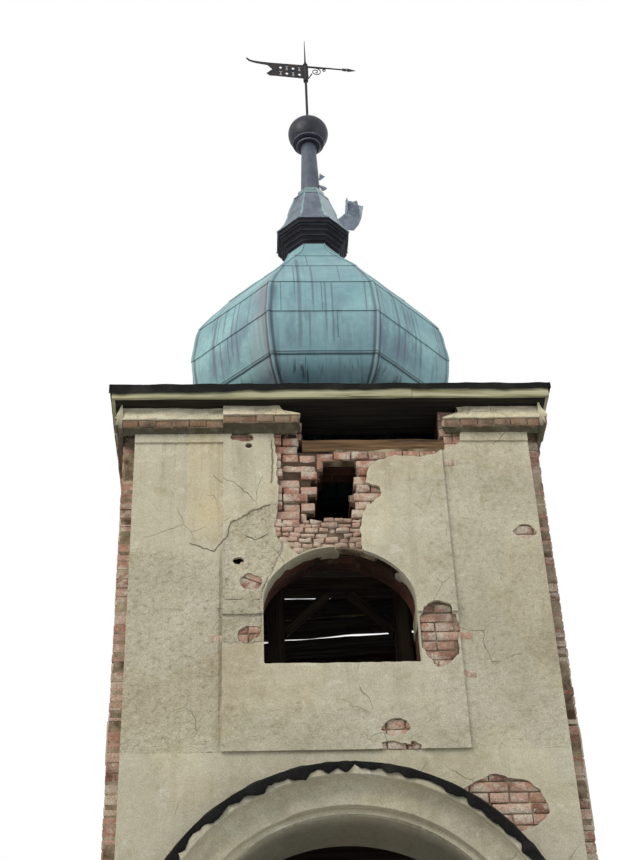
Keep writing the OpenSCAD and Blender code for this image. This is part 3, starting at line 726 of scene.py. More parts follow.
class Board:
    """Node tree of one material or world, with short ways to add its nodes."""

    def __init__(self, name: str, world: bool = False) -> None:
        """Start an empty node material, or an empty world."""
        self.owner = (bpy.data.worlds if world else bpy.data.materials).new(name)
        self.owner.use_nodes = True
        self.tree = self.owner.node_tree
        self.tree.nodes.clear()
        self.colour: Any = None

    def add(
        self, kind: str, settings: dict[str, Any] | None = None, inputs: dict[Any, Any] | None = None
    ) -> bpy.types.Node:
        """Add a node.

        Args:
            kind: node type.
            settings: properties, set before the sockets; "stops" fills a colour ramp.
            inputs: value or link of each socket, by name or number.

        Returns:
            The node.
        """
        node = self.tree.nodes.new(kind)
        for key, value in (settings or {}).items():
            if key == "stops":
                ramp = node.color_ramp
                while len(ramp.elements) < len(value):
                    ramp.elements.new(0.5)
                for element, (place, colour) in zip(ramp.elements, value):
                    element.position, element.color = place, colour
            else:
                setattr(node, key, value)
        for key, value in (inputs or {}).items():
            socket = node.inputs[key]
            if isinstance(value, Value):
                value = value.socket
            if isinstance(value, Socket):
                self.tree.links.new(value, socket)
            else:
                socket.default_value = value
        return node

    def maths(self, operation: str, *terms: Any, clamp: bool = False) -> Value:
        """Add a Math node on numbers or values."""
        settings = {"operation": operation, "use_clamp": clamp}
        return Value(self, self.add("ShaderNodeMath", settings, dict(enumerate(terms))).outputs[0])

    def arrows(self, operation: str, a: Any, b: Any) -> Socket:
        """Add a Vector Math node on two vectors."""
        return self.add("ShaderNodeVectorMath", {"operation": operation}, {0: a, 1: b}).outputs[0]

    def here(self) -> Socket:
        """Object coordinates, in metres."""
        return self.add("ShaderNodeTexCoord").outputs["Object"]

    def attribute(self, name: str) -> Socket:
        """Three numbers stored on the mesh."""
        return self.add("ShaderNodeAttribute", {"attribute_name": name}).outputs["Vector"]

    def mark(self, name: str) -> Value:
        """One number stored on the mesh."""
        return Value(self, self.add("ShaderNodeAttribute", {"attribute_name": name}).outputs["Fac"])

    def split(self, vector: Socket) -> tuple[Value, Value, Value]:
        """The three numbers of a vector."""
        node = self.add("ShaderNodeSeparateXYZ", None, {0: vector})
        return Value(self, node.outputs[0]), Value(self, node.outputs[1]), Value(self, node.outputs[2])

    def vector(self, x: Any, y: Any, z: Any) -> Socket:
        """A vector of three numbers."""
        return self.add("ShaderNodeCombineXYZ", None, {0: x, 1: y, 2: z}).outputs[0]

    def scaled(self, vector: Socket, by: tuple[float, float, float]) -> Socket:
        """A vector stretched along each axis."""
        return self.arrows("MULTIPLY", vector, by)

    def bent(self, vector: Socket, scale: float, amount: float) -> Socket:
        """A vector pushed about by noise, so that straight patterns wander.

        Args:
            vector: vector to bend.
            scale: scale of the noise.
            amount: how far it is pushed.

        Returns:
            The bent vector.
        """
        node = self.add("ShaderNodeTexNoise", None, {"Vector": vector, "Scale": scale, "Detail": 2.0})
        shift = self.arrows("SUBTRACT", node.outputs[1], (0.5, 0.5, 0.5))
        return self.arrows("ADD", vector, self.scaled(shift, (amount, amount, amount)))

    def noise(self, vector: Socket, scale: float, detail: float = 4.0, rough: float = 0.55) -> Value:
        """Cloudy noise of about 0.3 to 0.7."""
        inputs = {"Vector": vector, "Scale": scale, "Detail": detail, "Roughness": rough}
        return Value(self, self.add("ShaderNodeTexNoise", None, inputs).outputs[0])

    def cells(self, vector: Socket, scale: float, feature: str = "F1") -> Value:
        """Distance in a pattern of random cells."""
        node = self.add("ShaderNodeTexVoronoi", {"feature": feature}, {"Vector": vector, "Scale": scale})
        return Value(self, node.outputs[0])

    def ramp(self, value: Value, stops: list[tuple[float, tuple]]) -> Socket:
        """Colour that follows a number."""
        return self.add("ShaderNodeValToRGB", {"stops": stops}, {0: value}).outputs[0]

    def mix(self, share: Any, a: Any, b: Any) -> Socket:
        """Blend of two colours."""
        settings = {"data_type": "RGBA", "blend_type": "MIX", "clamp_factor": True}
        return self.add("ShaderNodeMix", settings, {0: share, 6: a, 7: b}).outputs[2]

    def coat(self, share: Any, colour: Any) -> None:
        """Lay a colour over the board's own, as thickly as share says."""
        self.colour = self.mix(share, self.colour, colour)

    def streak(self, across: Value, up: Value, at: float, wide: float, top: float, foot: float) -> Value:
        """1 on an upright stripe at a place across, between two heights, fading out towards its foot."""
        near = abs(across - at).band(wide, 0.35 * wide)
        return near * up.band(top + 0.01, top - 0.01) * up.band(foot - 0.05, foot + 0.15)

    def along(self, x: Value, z: Value, points: Pairs, wide: float) -> Value:
        """1 on a thin broken line through points of the x and z plane.

        Args:
            x: across.
            z: up.
            points: corners of the line.
            wide: half width of the line.

        Returns:
            1 on the line, 0 away from it; the nearest place of each stretch is found by projection.
        """
        out: Any = 0.0
        for (x0, z0), (x1, z1) in zip(points, points[1:]):
            ex, ez = x1 - x0, z1 - z0
            share = ((x - x0) * ex + (z - z0) * ez).band(0.0, ex * ex + ez * ez)
            far = self.maths("SQRT", (x - x0 - share * ex).power(2.0) + (z - z0 - share * ez).power(2.0))
            out = self.maths("MAXIMUM", out, far.band(wide, 0.3 * wide))
        return out

    def bump(self, height: Value, distance: float) -> Socket:
        """Normal of a surface whose height in shares of a distance is given."""
        inputs = {"Height": height, "Distance": distance, "Strength": 1.0}
        return self.add("ShaderNodeBump", None, inputs).outputs[0]

    def surface(self, rough: Any, normal: Any, metal: Any = 0.0, gloss: float = 0.5) -> bpy.types.Material:
        """Close the board with a Principled surface in the board's colour.

        Args:
            rough: roughness.
            normal: normal from a bump.
            metal: metallic share.
            gloss: specular level, the same all over.

        Returns:
            The material.
        """
        inputs = {"Base Color": self.colour, "Roughness": rough, "Normal": normal, "Metallic": metal}
        node = self.add("ShaderNodeBsdfPrincipled", None, inputs)
        node.inputs["Specular IOR Level"].default_value = gloss
        self.add("ShaderNodeOutputMaterial", None, {"Surface": node.outputs[0]})
        return self.owner


def tone(r: int, g: int, b: int) -> tuple[float, float, float, float]:
    """Colour from the 0..255 numbers of a screen, made linear."""
    line = [c / 255.0 / 12.92 if c <= 10 else ((c / 255.0 + 0.055) / 1.055) ** 2.4 for c in (r, g, b)]
    return (line[0], line[1], line[2], 1.0)


@dataclass(frozen=True)
class Finish:
    """One finish of the tower; each kind says how it is laid."""

    name: str

    def build(self) -> bpy.types.Material:
        """Make the material on object coordinates."""
        b = Board(self.name)
        return self.lay(b, b.here())

    def lay(self, b: Board, p: Socket) -> bpy.types.Material:
        """Lay the finish, coat over coat.

        Args:
            b: empty board.
            p: object coordinates.

        Returns:
            The material.
        """
        raise NotImplementedError


@dataclass(frozen=True)
class Plaster(Finish):
    """Weathered lime plaster with stains, cracks, pale flakes, a gritty face and painted shade where marked.
    """

    light: tuple = tone(208, 198, 170)
    dark: tuple = tone(182, 170, 142)
    dirt: tuple = tone(110, 98, 74)
    stain: float = 1.0
    lines: tuple[Pairs, ...] = ()

    def lay(self, b: Board, p: Socket) -> bpy.types.Material:
        """Layer clouds, repairs, run-off, flakes, cracks and painted shade over the grain, rougher at grit 1.
        """
        z = b.split(p)[2]
        rim, grit, warm, soot = map(b.mark, ("rim", "grit", "warm", "soot"))
        cloud = b.noise(p, 1.5, 5.0, 0.6)
        b.colour = b.mix(cloud.band(0.38, 0.64), self.dark, self.light)
        repair = b.noise(b.bent(p, 2.0, 0.3), 1.1, 1.0, 0.3)
        b.coat(repair.band(0.515, 0.53) * 0.4, tone(190, 184, 164))
        broken = b.noise(b.scaled(p, (7.0, 7.0, 2.0)), 1.0, 5.0, 0.65)
        b.coat(warm * (0.12 + broken.band(0.4, 0.6) * 0.4), tone(208, 188, 144))
        mottle = b.noise(p, 26.0, 6.0, 0.75)
        b.coat(mottle.band(0.53, 0.68) * (0.28 + 0.3 * grit), tone(226, 217, 196))
        b.coat(mottle.band(0.47, 0.32) * (0.25 + 0.6 * grit), tone(128, 110, 84))
        spots = b.noise(p, 7.0, 6.0, 0.72)
        b.coat(spots.band(0.58, 0.66) * 0.35 * (1.0 - grit * 0.6), tone(228, 222, 204))
        b.coat(spots.band(0.44, 0.34) * 0.35, tone(156, 138, 106))
        runs = b.noise(b.scaled(p, (10.0, 10.0, 0.7)), 1.0, 5.0, 0.62)
        high = z.band(7.7, 8.4)
        b.coat(runs.band(0.52, 0.72) * (0.18 + 0.42 * high) * self.stain, self.dirt)
        moss = b.noise(p, 4.3, 4.0, 0.65)
        b.coat(moss.band(0.57, 0.72) * 0.35, tone(142, 140, 98))
        bent = b.bent(p, 5.0, 0.12)
        hair = b.cells(bent, 2.3, "DISTANCE_TO_EDGE")
        hair = hair.band(0.0045, 0.001) * b.noise(p, 1.7, 2.0).band(0.57, 0.63) * 0.7
        chalk = b.cells(b.bent(p, 9.0, 0.10), 3.7, "DISTANCE_TO_EDGE")
        chalk = chalk.band(0.012, 0.003) * b.noise(p, 2.1, 3.0).band(0.54, 0.64)
        b.coat(chalk * 0.35, tone(230, 225, 210))
        wx, _, wz = b.split(b.bent(p, 16.0, 0.03))
        for line in self.lines:
            hair = b.maths("MAXIMUM", hair, b.along(wx, wz, line, 0.006))
        b.coat(hair * 0.7, tone(76, 64, 48))
        b.coat(rim * 0.35, tone(214, 204, 180))
        # Painted shade: the piece's mark darkens the cornice cove, the seat behind its headers and deep
        # reveals.
        b.coat(soot * 0.9, tone(54, 49, 35))
        grain = b.noise(p, 110.0, 3.0, 0.6)
        b.coat(grain.band(0.6, 0.42) * 0.25, tone(100, 90, 68))
        pits = b.cells(p, 46.0).band(0.02, 0.3)
        coarse = b.noise(p, 34.0, 5.0, 0.68)
        lumps = b.noise(p, 15.0, 4.0, 0.6)
        height = grain * 0.2 + coarse * (0.4 + 1.5 * grit) + pits * (0.08 + 0.4 * grit)
        height = height + lumps * grit * 1.4 - hair * 0.8
        return b.surface(0.94, b.bump(height, 0.011), gloss=0.2)


@dataclass(frozen=True)
class Brick(Finish):
    """Fired clay bricks: each has its own tone, with lime smears, soot and pitted faces."""

    soot: float = 0.25
    lime: float = 0.8
    dust: float = 0.0
    powder: tuple = tone(150, 132, 100)

    def lay(self, b: Board, p: Socket) -> bpy.types.Material:
        """Pick a tone by the brick's own number, then smear lime and soot by noise."""
        own = b.mark("tone")
        stops = [
            (0.0, tone(128, 90, 74)),
            (0.2, tone(176, 130, 108)),
            (0.4, tone(196, 158, 136)),
            (0.6, tone(176, 120, 98)),
            (0.8, tone(212, 180, 158)),
            (1.0, tone(150, 104, 86)),
        ]
        b.colour = b.ramp(own, stops)
        blotch = b.noise(p, 13.0, 5.0, 0.68)
        b.coat(blotch.band(0.45, 0.62) * 0.5, tone(206, 166, 144))
        smear = b.noise(b.bent(p, 14.0, 0.06), 9.0, 6.0, 0.72)
        b.coat(smear.band(0.48, 0.58) * self.lime, tone(214, 202, 180))
        b.coat(self.dust, self.powder)
        dark = b.noise(p, 3.1, 5.0, 0.62)
        b.coat(dark.band(0.52, 0.68) * self.soot * 2.0, tone(54, 42, 34))
        grain = b.noise(p, 120.0, 3.0, 0.6)
        b.coat(grain.band(0.6, 0.4) * 0.35, tone(88, 56, 44))
        pits = b.cells(p, 70.0).band(0.0, 0.35)
        height = grain * 0.5 + pits * 0.5 + b.noise(p, 30.0, 4.0) * 1.3
        return b.surface(0.94, b.bump(height, 0.009), gloss=0.2)


@dataclass(frozen=True)
class Mortar(Finish):
    """Washed-out lime mortar between the bricks."""

    light: tuple = tone(178, 160, 132)
    dark: tuple = tone(84, 66, 50)

    def lay(self, b: Board, p: Socket) -> bpy.types.Material:
        """Cloudy lime with sandy grain, darkened as painted shade where the bricks are broken back."""
        b.colour = b.mix(b.noise(p, 5.0, 6.0, 0.65).band(0.36, 0.64), self.dark, self.light)
        # Painted shade: the mark is 1 where the bricks are broken back deepest.
        soot = b.mark("soot")
        b.coat(soot * 0.85, tone(58, 40, 29))
        grain = b.noise(p, 120.0, 3.0)
        height = grain * 0.5 + b.noise(p, 30.0, 5.0)
        return b.surface(0.96, b.bump(height, 0.01), gloss=0.15)


@dataclass(frozen=True)
class CoursedBrick(Finish):
    """Brickwork of the inner faces, drawn by a brick pattern on the face's own plane, near black: painted
    shade.
    """

    def lay(self, b: Board, p: Socket) -> bpy.types.Material:
        """Read the plane from the normal, lay dark courses of 77 mm on it, darken them as painted shade, add
        lime.
        """
        x, y, z = b.split(p)
        _, ny, nz = b.split(b.add("ShaderNodeNewGeometry").outputs["Normal"])
        faces_y = abs(ny) > 0.5
        flat = abs(nz) > 0.6
        across = x * faces_y + y * (1.0 - faces_y)
        up = z * (1.0 - flat) + y * flat
        across = across * (1.0 - flat) + x * flat
        plane = b.bent(b.vector(across, up, 0.0), 9.0, 0.012)
        settings = {"offset": 0.5, "squash": 1.0, "offset_frequency": 2}
        pattern = b.add(
            "ShaderNodeTexBrick",
            settings,
            {
                "Vector": plane,
                "Color1": tone(70, 38, 30),
                "Color2": tone(96, 58, 46),
                "Mortar": tone(84, 70, 54),
                "Scale": 1.0,
                "Mortar Size": 0.006,
                "Mortar Smooth": 0.35,
                "Bias": -0.1,
                "Brick Width": STRETCHER,
                "Row Height": COURSE,
            },
        )
        # Painted shade: the brickwork is pulled most of the way to near black, the shade inside the tower.
        dull = b.noise(p, 3.1, 5.0, 0.65)
        b.colour = b.mix(dull.band(0.40, 0.62) * 0.8, pattern.outputs[0], tone(34, 25, 21))
        b.coat(b.noise(p, 8.0, 6.0, 0.7).band(0.58, 0.70) * 0.35, tone(128, 112, 92))
        joint = Value(b, pattern.outputs[1])
        height = (1.0 - joint) * 0.8 + b.noise(p, 60.0, 4.0) * 0.5
        return b.surface(0.95, b.bump(height, 0.008), gloss=0.15)


class Along(Enum):
    """Which way the grain of a kept timber runs."""

    X = (0.6, 12.0, 12.0)
    Y = (12.0, 0.6, 12.0)
    Z = (12.0, 12.0, 0.6)


@dataclass(frozen=True)
class Timber(Finish):
    """Weathered softwood: long grain, silvered face, checks and knots."""

    light: tuple
    dark: tuple
    along: Along | None = None
    paint: tuple | None = None

    def lay(self, b: Board, p: Socket) -> bpy.types.Material:
        """Stretch noise along the grain; a carved piece brings its own grain coordinates."""
        if self.along is None:
            line = b.attribute("grain")
            g = b.scaled(line, (0.6, 12.0, 12.0))
        else:
            line = p
            g = b.scaled(p, self.along.value)
        bent = b.bent(g, 0.6, 0.8)
        fibre = b.noise(bent, 3.0, 6.0, 0.65)
        rings = b.noise(bent, 1.0, 3.0, 0.5)
        b.colour = b.mix(fibre.band(0.38, 0.62), self.dark, self.light)
        b.coat(rings.band(0.45, 0.62) * 0.4, self.dark)
        if self.paint is not None:
            left = b.noise(b.scaled(line, (1.2, 9.0, 9.0)), 1.6, 6.0, 0.7)
            b.coat(left.band(0.44, 0.58) * 0.75, self.paint)
        knots = b.cells(b.scaled(line, (1.6, 7.0, 7.0)), 1.0).band(0.12, 0.04)
        checks = b.noise(b.scaled(line, (1.1, 46.0, 46.0)), 1.0, 3.0, 0.6).band(0.62, 0.7)
        b.coat(knots * 0.7, tone(48, 36, 26))
        b.coat(checks * 0.8, tone(34, 28, 22))
        height = fibre * 0.5 - checks * 0.9 - knots * 0.2
        return b.surface(0.85, b.bump(height, 0.005), gloss=0.25)


@dataclass(frozen=True)
class Felt(Finish):
    """Bituminous felt: matt black, dusted grey, with faint blisters."""

    def lay(self, b: Board, p: Socket) -> bpy.types.Material:
        """Dust by broad noise, mineral grain and soft blisters."""
        dust = b.noise(p, 3.0, 6.0, 0.7)
        b.colour = b.mix(dust.band(0.48, 0.7) * 0.45, tone(17, 16, 15), tone(62, 59, 52))
        grain = b.noise(p, 260.0, 2.0)
        b.coat(grain.band(0.55, 0.7) * 0.2, tone(84, 82, 76))
        height = grain * 0.3 + b.noise(p, 12.0, 3.0) * 1.0
        return b.surface(0.88, b.bump(height, 0.006), gloss=0.15)


@dataclass(frozen=True)
class Verdigris(Finish):
    """Green copper sheet with run-off streaks, dark seams and flat-locked joints."""

    streaks: tuple[tuple[float, float, float, float], ...] = (
        (-0.196, 0.024, 11.0, 9.50), (-0.235, 0.010, 10.72, 10.05), (-0.080, 0.014, 10.72, 9.9),
        (0.026, 0.012, 10.28, 9.6), (0.083, 0.010, 10.28, 9.55), (-0.115, 0.012, 9.88, 9.50),
    )
    locks: tuple[tuple[float, float, float], ...] = (
        (-0.355, 10.29, 9.90), (-0.004, 10.29, 9.90), (0.37, 10.29, 9.90), (-0.20, 10.74, 10.29),
        (0.16, 10.74, 10.29), (-0.16, 9.455, 9.28), (0.12, 9.895, 9.62), (-0.10, 11.19, 10.74),
    )

    def lay(self, b: Board, p: Socket) -> bpy.types.Material:
        """Read metres across the face, height and face number, and streak downwards from the seams."""
        across, up, number = b.split(b.attribute("sheet"))
        seam = b.mark("seam")
        hip = b.mark("hip")
        plane = b.vector(across, up, number * 3.7)
        low = up.band(9.9, 9.3)
        cloud = b.noise(p, 2.2, 6.0, 0.62)
        b.colour = b.mix(cloud.band(0.35, 0.66), tone(116, 154, 158), tone(146, 182, 180))
        fine = b.noise(p, 24.0, 5.0, 0.7)
        b.coat(fine.band(0.54, 0.72) * 0.45, tone(172, 204, 198))
        b.coat(fine.band(0.45, 0.30) * 0.35, tone(92, 128, 134))
        violet = b.noise(b.scaled(plane, (4.5, 1.5, 1.0)), 1.0, 4.0, 0.6)
        stained = up.band(9.46, 9.60) * up.band(10.3, 9.8)
        front = number < 0.5
        b.coat(front * 0.3, tone(92, 126, 140))
        b.coat(violet.band(0.46, 0.60) * (0.14 + 0.5 * stained), tone(92, 102, 122))
        b.coat(low * 0.42, tone(64, 92, 98))
        thin = b.noise(b.scaled(plane, (30.0, 0.8, 1.0)), 1.0, 4.0, 0.6)
        b.coat(thin.band(0.56, 0.70) * (0.18 + 0.4 * low), tone(62, 80, 90))
        for at, wide, top, foot in self.streaks:
            b.coat(b.streak(across, up, at, wide, top, foot) * 0.62, tone(84, 88, 104))
        for at, top, foot in self.locks:
            line = abs(across - at + number * 0.021).band(0.006, 0.002) * (up < top) * (up > foot)
            b.coat(line * 0.65, tone(52, 66, 72))
        side = hip.band(0.62, 0.95)
        side = side * b.noise(b.scaled(plane, (26.0, 0.5, 1.0)), 1.0, 3.0, 0.6).band(0.47, 0.60)
        b.coat(side * 0.45, tone(112, 116, 130))
        wash = hip.band(0.45, 0.80) * (across > 0.0) * (number > 6.5) * up.band(10.8, 10.2)
        b.coat(wash * (0.3 + 0.6 * thin.band(0.40, 0.56)), tone(122, 124, 130))
        shade = hip.band(0.82, 0.92) * (across < 0.0) * front * up.band(10.3, 10.2)
        b.coat(shade * (0.25 + 0.5 * thin.band(0.42, 0.56)), tone(66, 80, 96))
        dabs = b.noise(b.scaled(plane, (30.0, 5.0, 1.0)), 1.0, 3.0, 0.6)
        patchy = b.noise(plane, 3.3, 2.0, 0.5).band(0.42, 0.56)
        b.coat(dabs.band(0.52, 0.62) * patchy * up.band(9.48, 9.36) * 0.85, tone(24, 32, 38))
        foot = b.noise(p, 5.0, 4.0)
        b.coat(up.band(9.44, 9.24) * foot.band(0.3, 0.6) * 0.5, tone(44, 62, 70))
        dark_hip = hip.band(0.90, 0.93) * hip.band(0.975, 0.955)
        b.coat(dark_hip * (0.5 + 0.4 * low), tone(36, 46, 54))
        b.coat(seam * 0.9, tone(22, 32, 38))
        b.coat(hip.band(0.965, 0.985) * 0.2, tone(158, 192, 188))
        height = fine * 0.25 + b.noise(p, 7.0, 3.0) * 0.9
        return b.surface(cloud.band(0.2, 0.8) * 0.2 + 0.5, b.bump(height, 0.004), gloss=0.4)


@dataclass(frozen=True)
class GreySheet(Finish):
    """Old grey copper sheet: a colour along its marked edges, and a painted lit side on the greener sheets.
    """

    light: tuple = tone(110, 118, 130)
    dark: tuple = tone(78, 86, 98)
    green: float = 0.3
    # Edge colour: green along the skirt's hips; in DARK_GREY it is a painted highlight on the ball's collar
    # lips.
    edge: tuple = tone(148, 186, 180)

    def lay(self, b: Board, p: Socket) -> bpy.types.Material:
        """Grey clouds, thin run-off streaks, green in rubbed parts, edge colour and a painted lit side."""
        cloud = b.noise(p, 5.0, 5.0, 0.6)
        b.colour = b.mix(cloud.band(0.36, 0.64), self.dark, self.light)
        runs = b.noise(b.scaled(p, (40.0, 40.0, 3.0)), 1.0, 4.0, 0.6)
        b.coat(runs.band(0.5, 0.7) * 0.35, tone(40, 44, 52))
        rub = b.noise(p, 13.0, 5.0, 0.7)
        b.coat(rub.band(0.54, 0.66) * self.green, tone(128, 158, 152))
        hip = b.mark("hip")
        # Painted light: on sheets with green above 0.2, faces that look towards +x are painted paler, as if
        # lit.
        lit_side_nx = b.split(b.add("ShaderNodeNewGeometry").outputs["Normal"])[0]
        b.coat(lit_side_nx.band(0.3, 0.7) * 0.8 * (self.green > 0.2), tone(172, 182, 186))
        # Marked edges take the edge colour: green on the skirt's hips, painted highlight on the ball's collar
        # lips.
        b.coat(hip.band(0.86, 0.93) * (0.3 + rub.band(0.4, 0.6) * 0.5), self.edge)
        height = b.noise(p, 60.0, 4.0) * 0.4 + b.noise(p, 9.0, 2.0)
        return b.surface(rub.band(0.2, 0.8) * 0.25 + 0.38, b.bump(height, 0.004), metal=0.15, gloss=0.5)


@dataclass(frozen=True)
class Blackened(Finish):
    """Moulded timber painted black long ago, with painted highlights, broken by wear, on the lips of its
    steps.
    """

    lips: tuple[float, ...] = (11.6206, 11.6681, 11.7156, 11.7631, 11.787)

    def lay(self, b: Board, p: Socket) -> bpy.types.Material:
        """Black paint with thin painted highlight lines at the heights of the step lips."""
        z = b.split(p)[2]
        wear = b.noise(b.scaled(p, (6.0, 6.0, 26.0)), 1.0, 5.0, 0.65)
        b.colour = b.mix(wear.band(0.45, 0.7) * 0.5, tone(13, 12, 17), tone(30, 29, 38))
        # Painted highlight: thin grey-violet lines along the step lips, broken up by the wear noise.
        for lip in self.lips:
            b.coat(abs(z - lip).band(0.006, 0.002) * wear.band(0.35, 0.55) * 0.8, tone(66, 64, 76))
        flake = b.noise(p, 40.0, 4.0, 0.7)
        b.coat(flake.band(0.66, 0.72) * 0.35, tone(80, 76, 76))
        return b.surface(0.75, b.bump(wear * 0.4 + flake * 0.5, 0.003), gloss=0.2)


@dataclass(frozen=True)
class Iron(Finish):
    """Forged iron, black with dull rust at the joints."""

    rust: float = 0.45

    def lay(self, b: Board, p: Socket) -> bpy.types.Material:
        """Scale, hammer marks and rust."""
        patch = b.noise(p, 22.0, 6.0, 0.7)
        b.colour = b.mix(patch.band(0.46, 0.64) * self.rust, tone(34, 35, 39), tone(84, 62, 50))
        b.coat(b.noise(p, 90.0, 3.0).band(0.58, 0.7) * 0.4, tone(84, 86, 90))
        height = b.cells(p, 60.0) * 0.5 + patch
        return b.surface(patch.band(0.3, 0.7) * 0.3 + 0.5, b.bump(height, 0.0005), metal=0.35, gloss=0.4)


class Store:
    """Makes each finish once and hands it out by its name."""

    def __init__(self) -> None:
        """Start empty."""
        self.made: dict[str, bpy.types.Material] = {}

    def get(self, finish: Finish) -> bpy.types.Material:
        """The material of a finish, made at its first use.

        Args:
            finish: the finish.

        Returns:
            Its material.
        """
        if finish.name not in self.made:
            self.made[finish.name] = finish.build()
        return self.made[finish.name]


STORE = Store()
PLASTER = Plaster("old_plaster")
FRONT_PLASTER = Plaster(
    "front_plaster",
    lines=(
        ((-0.487, 7.595), (-0.60, 7.545), (-0.767, 7.442), (-0.798, 7.327), (-0.892, 7.195), (-1.065, 7.272)),
        ((-0.47, 8.20), (-0.452, 7.99), (-0.47, 7.80)),
        ((-0.36, 7.02), (-0.50, 6.93), (-0.545, 6.86)),
        ((-0.82, 6.776), (-0.74, 6.781), (-0.66, 6.774), (-0.57, 6.778)),
        ((-0.66, 7.32), (-0.60, 7.29), (-0.55, 7.31), (-0.50, 7.34)),
    ),
)
# Painted light: a much paler copy of the plaster, so that the cornice under the eaves reads as brightly lit.
LIT_CORNICE_PLASTER = Plaster(
    "cornice_plaster_painted_light", tone(246, 232, 198), tone(212, 198, 164), tone(128, 112, 86), stain=0.5
)
BRICK = Brick("fired_brick")
SOOTY_BRICK = Brick("sooty_brick", soot=0.4, lime=0.4, dust=0.65, powder=tone(112, 97, 68))
MORTAR = Mortar("lime_mortar")
# Painted shade: the inner brickwork is near black to stand for the shade inside the tower.
INNER_SHADED = CoursedBrick("inner_brickwork_painted_shade")
OAK = Timber("hewn_timber", tone(88, 74, 58), tone(44, 35, 26))
PLATE_OAK = Timber("plate_timber", tone(132, 102, 70), tone(70, 50, 34))
EAVES_BOARD = Timber("eaves_board", tone(196, 190, 156), tone(126, 120, 84), paint=tone(172, 168, 136))
BARE_BOARD = Timber("bare_board", tone(120, 108, 88), tone(70, 61, 48))
REAR_BOARD = Timber("rear_board", tone(104, 96, 80), tone(56, 49, 40))
# Painted shade: near-black boards for the soffit and under the felt, standing for the shade under the roof.
SHADE_DARK_BOARD = Timber("shade_dark_board", tone(52, 46, 36), tone(24, 20, 16))
OAK_X = Timber("timber_across", tone(64, 52, 40), tone(34, 27, 20), along=Along.X)
OAK_Y = Timber("timber_deep", tone(52, 43, 33), tone(28, 23, 18), along=Along.Y)
FELT = Felt("roof_felt")
COPPER = Verdigris("green_copper")
# GREY and GREENISH have green above 0.2 and get the painted lit side; DARK_GREY's edge colour is a painted
# highlight.
GREY = GreySheet("grey_copper")
SLATE = GreySheet("slate_copper", tone(80, 86, 99), tone(56, 61, 73), 0.12)
GREENISH = GreySheet("collar_copper", tone(126, 150, 150), tone(84, 104, 106), 0.6)
DARK_GREY = GreySheet("dark_copper", tone(36, 38, 52), tone(18, 19, 29), 0.03, edge=tone(126, 124, 142))
BLACK = Blackened("black_moulding")
IRON = Iron("forged_iron")


def tube(rings: Array, values: dict[str, Array] | None = None) -> Shape:
    """Closed solid from a stack of rings, shape (rows, k, 3), with a cap at both ends.

    Args:
        rings: points of the rings.
        values: per-point values.

    Returns:
        The closed shape.
    """
    rows, k = rings.shape[:2]
    first, last = np.arange(k)[::-1][None], (np.arange(k) + (rows - 1) * k)[None]
    flat = {key: v.reshape(rows * k, *v.shape[2:]) for key, v in (values or {}).items()}
    return Shape(rings.reshape(-1, 3), [grid_faces(rows, k, round_cols=True), first, last], flat)


def shell(
    front: Array, back: Array, values: dict[str, Array] | None = None, round_cols: bool = False
) -> Shape:
    """Closed sheet between two grids of points, joined all round their open edges.

    Args:
        front: outer points, shape (rows, cols, 3).
        back: inner points, the same shape.
        values: per-point values of the grid, used for both sides.
        round_cols: the last column joins the first.

    Returns:
        The closed shape.
    """
    rows, cols = front.shape[:2]
    total = rows * cols
    quads = grid_faces(rows, cols, round_cols=round_cols)
    a, b = quads.ravel(), np.roll(quads, -1, axis=1).ravel()
    lone = ~np.isin(a * total + b, b * total + a)
    a, b = a[lone], b[lone]
    rims = np.stack([b, a, a + total, b + total], -1)
    flat = {k: np.concatenate([v.reshape(total, *v.shape[2:])] * 2) for k, v in (values or {}).items()}
    verts = np.concatenate([front.reshape(-1, 3), back.reshape(-1, 3)])
    return Shape(verts, [quads, quads[:, ::-1] + total, rims], flat)


def section(width: float, thick: float, cut: float) -> Array:
    """Rectangle with cut corners, centred, with extra points on its longer sides.

    Args:
        width: size across.
        thick: size up.
        cut: length taken off each side at a corner.

    Returns:
        Points in order, shape (n, 2).
    """
    w, t = width / 2, thick / 2
    corners = [(-w, -t), (w, -t), (w, t), (-w, t)]
    out = []
    for k in range(4):
        p, q = np.array(corners[k]), np.array(corners[(k + 1) % 4])
        e = (q - p) / np.linalg.norm(q - p)
        n = max(1, int(np.linalg.norm(q - p) / 0.035))
        out += [p + e * cut + (q - p - 2 * e * cut) * j / n for j in range(n + 1)]
    return np.array(out)


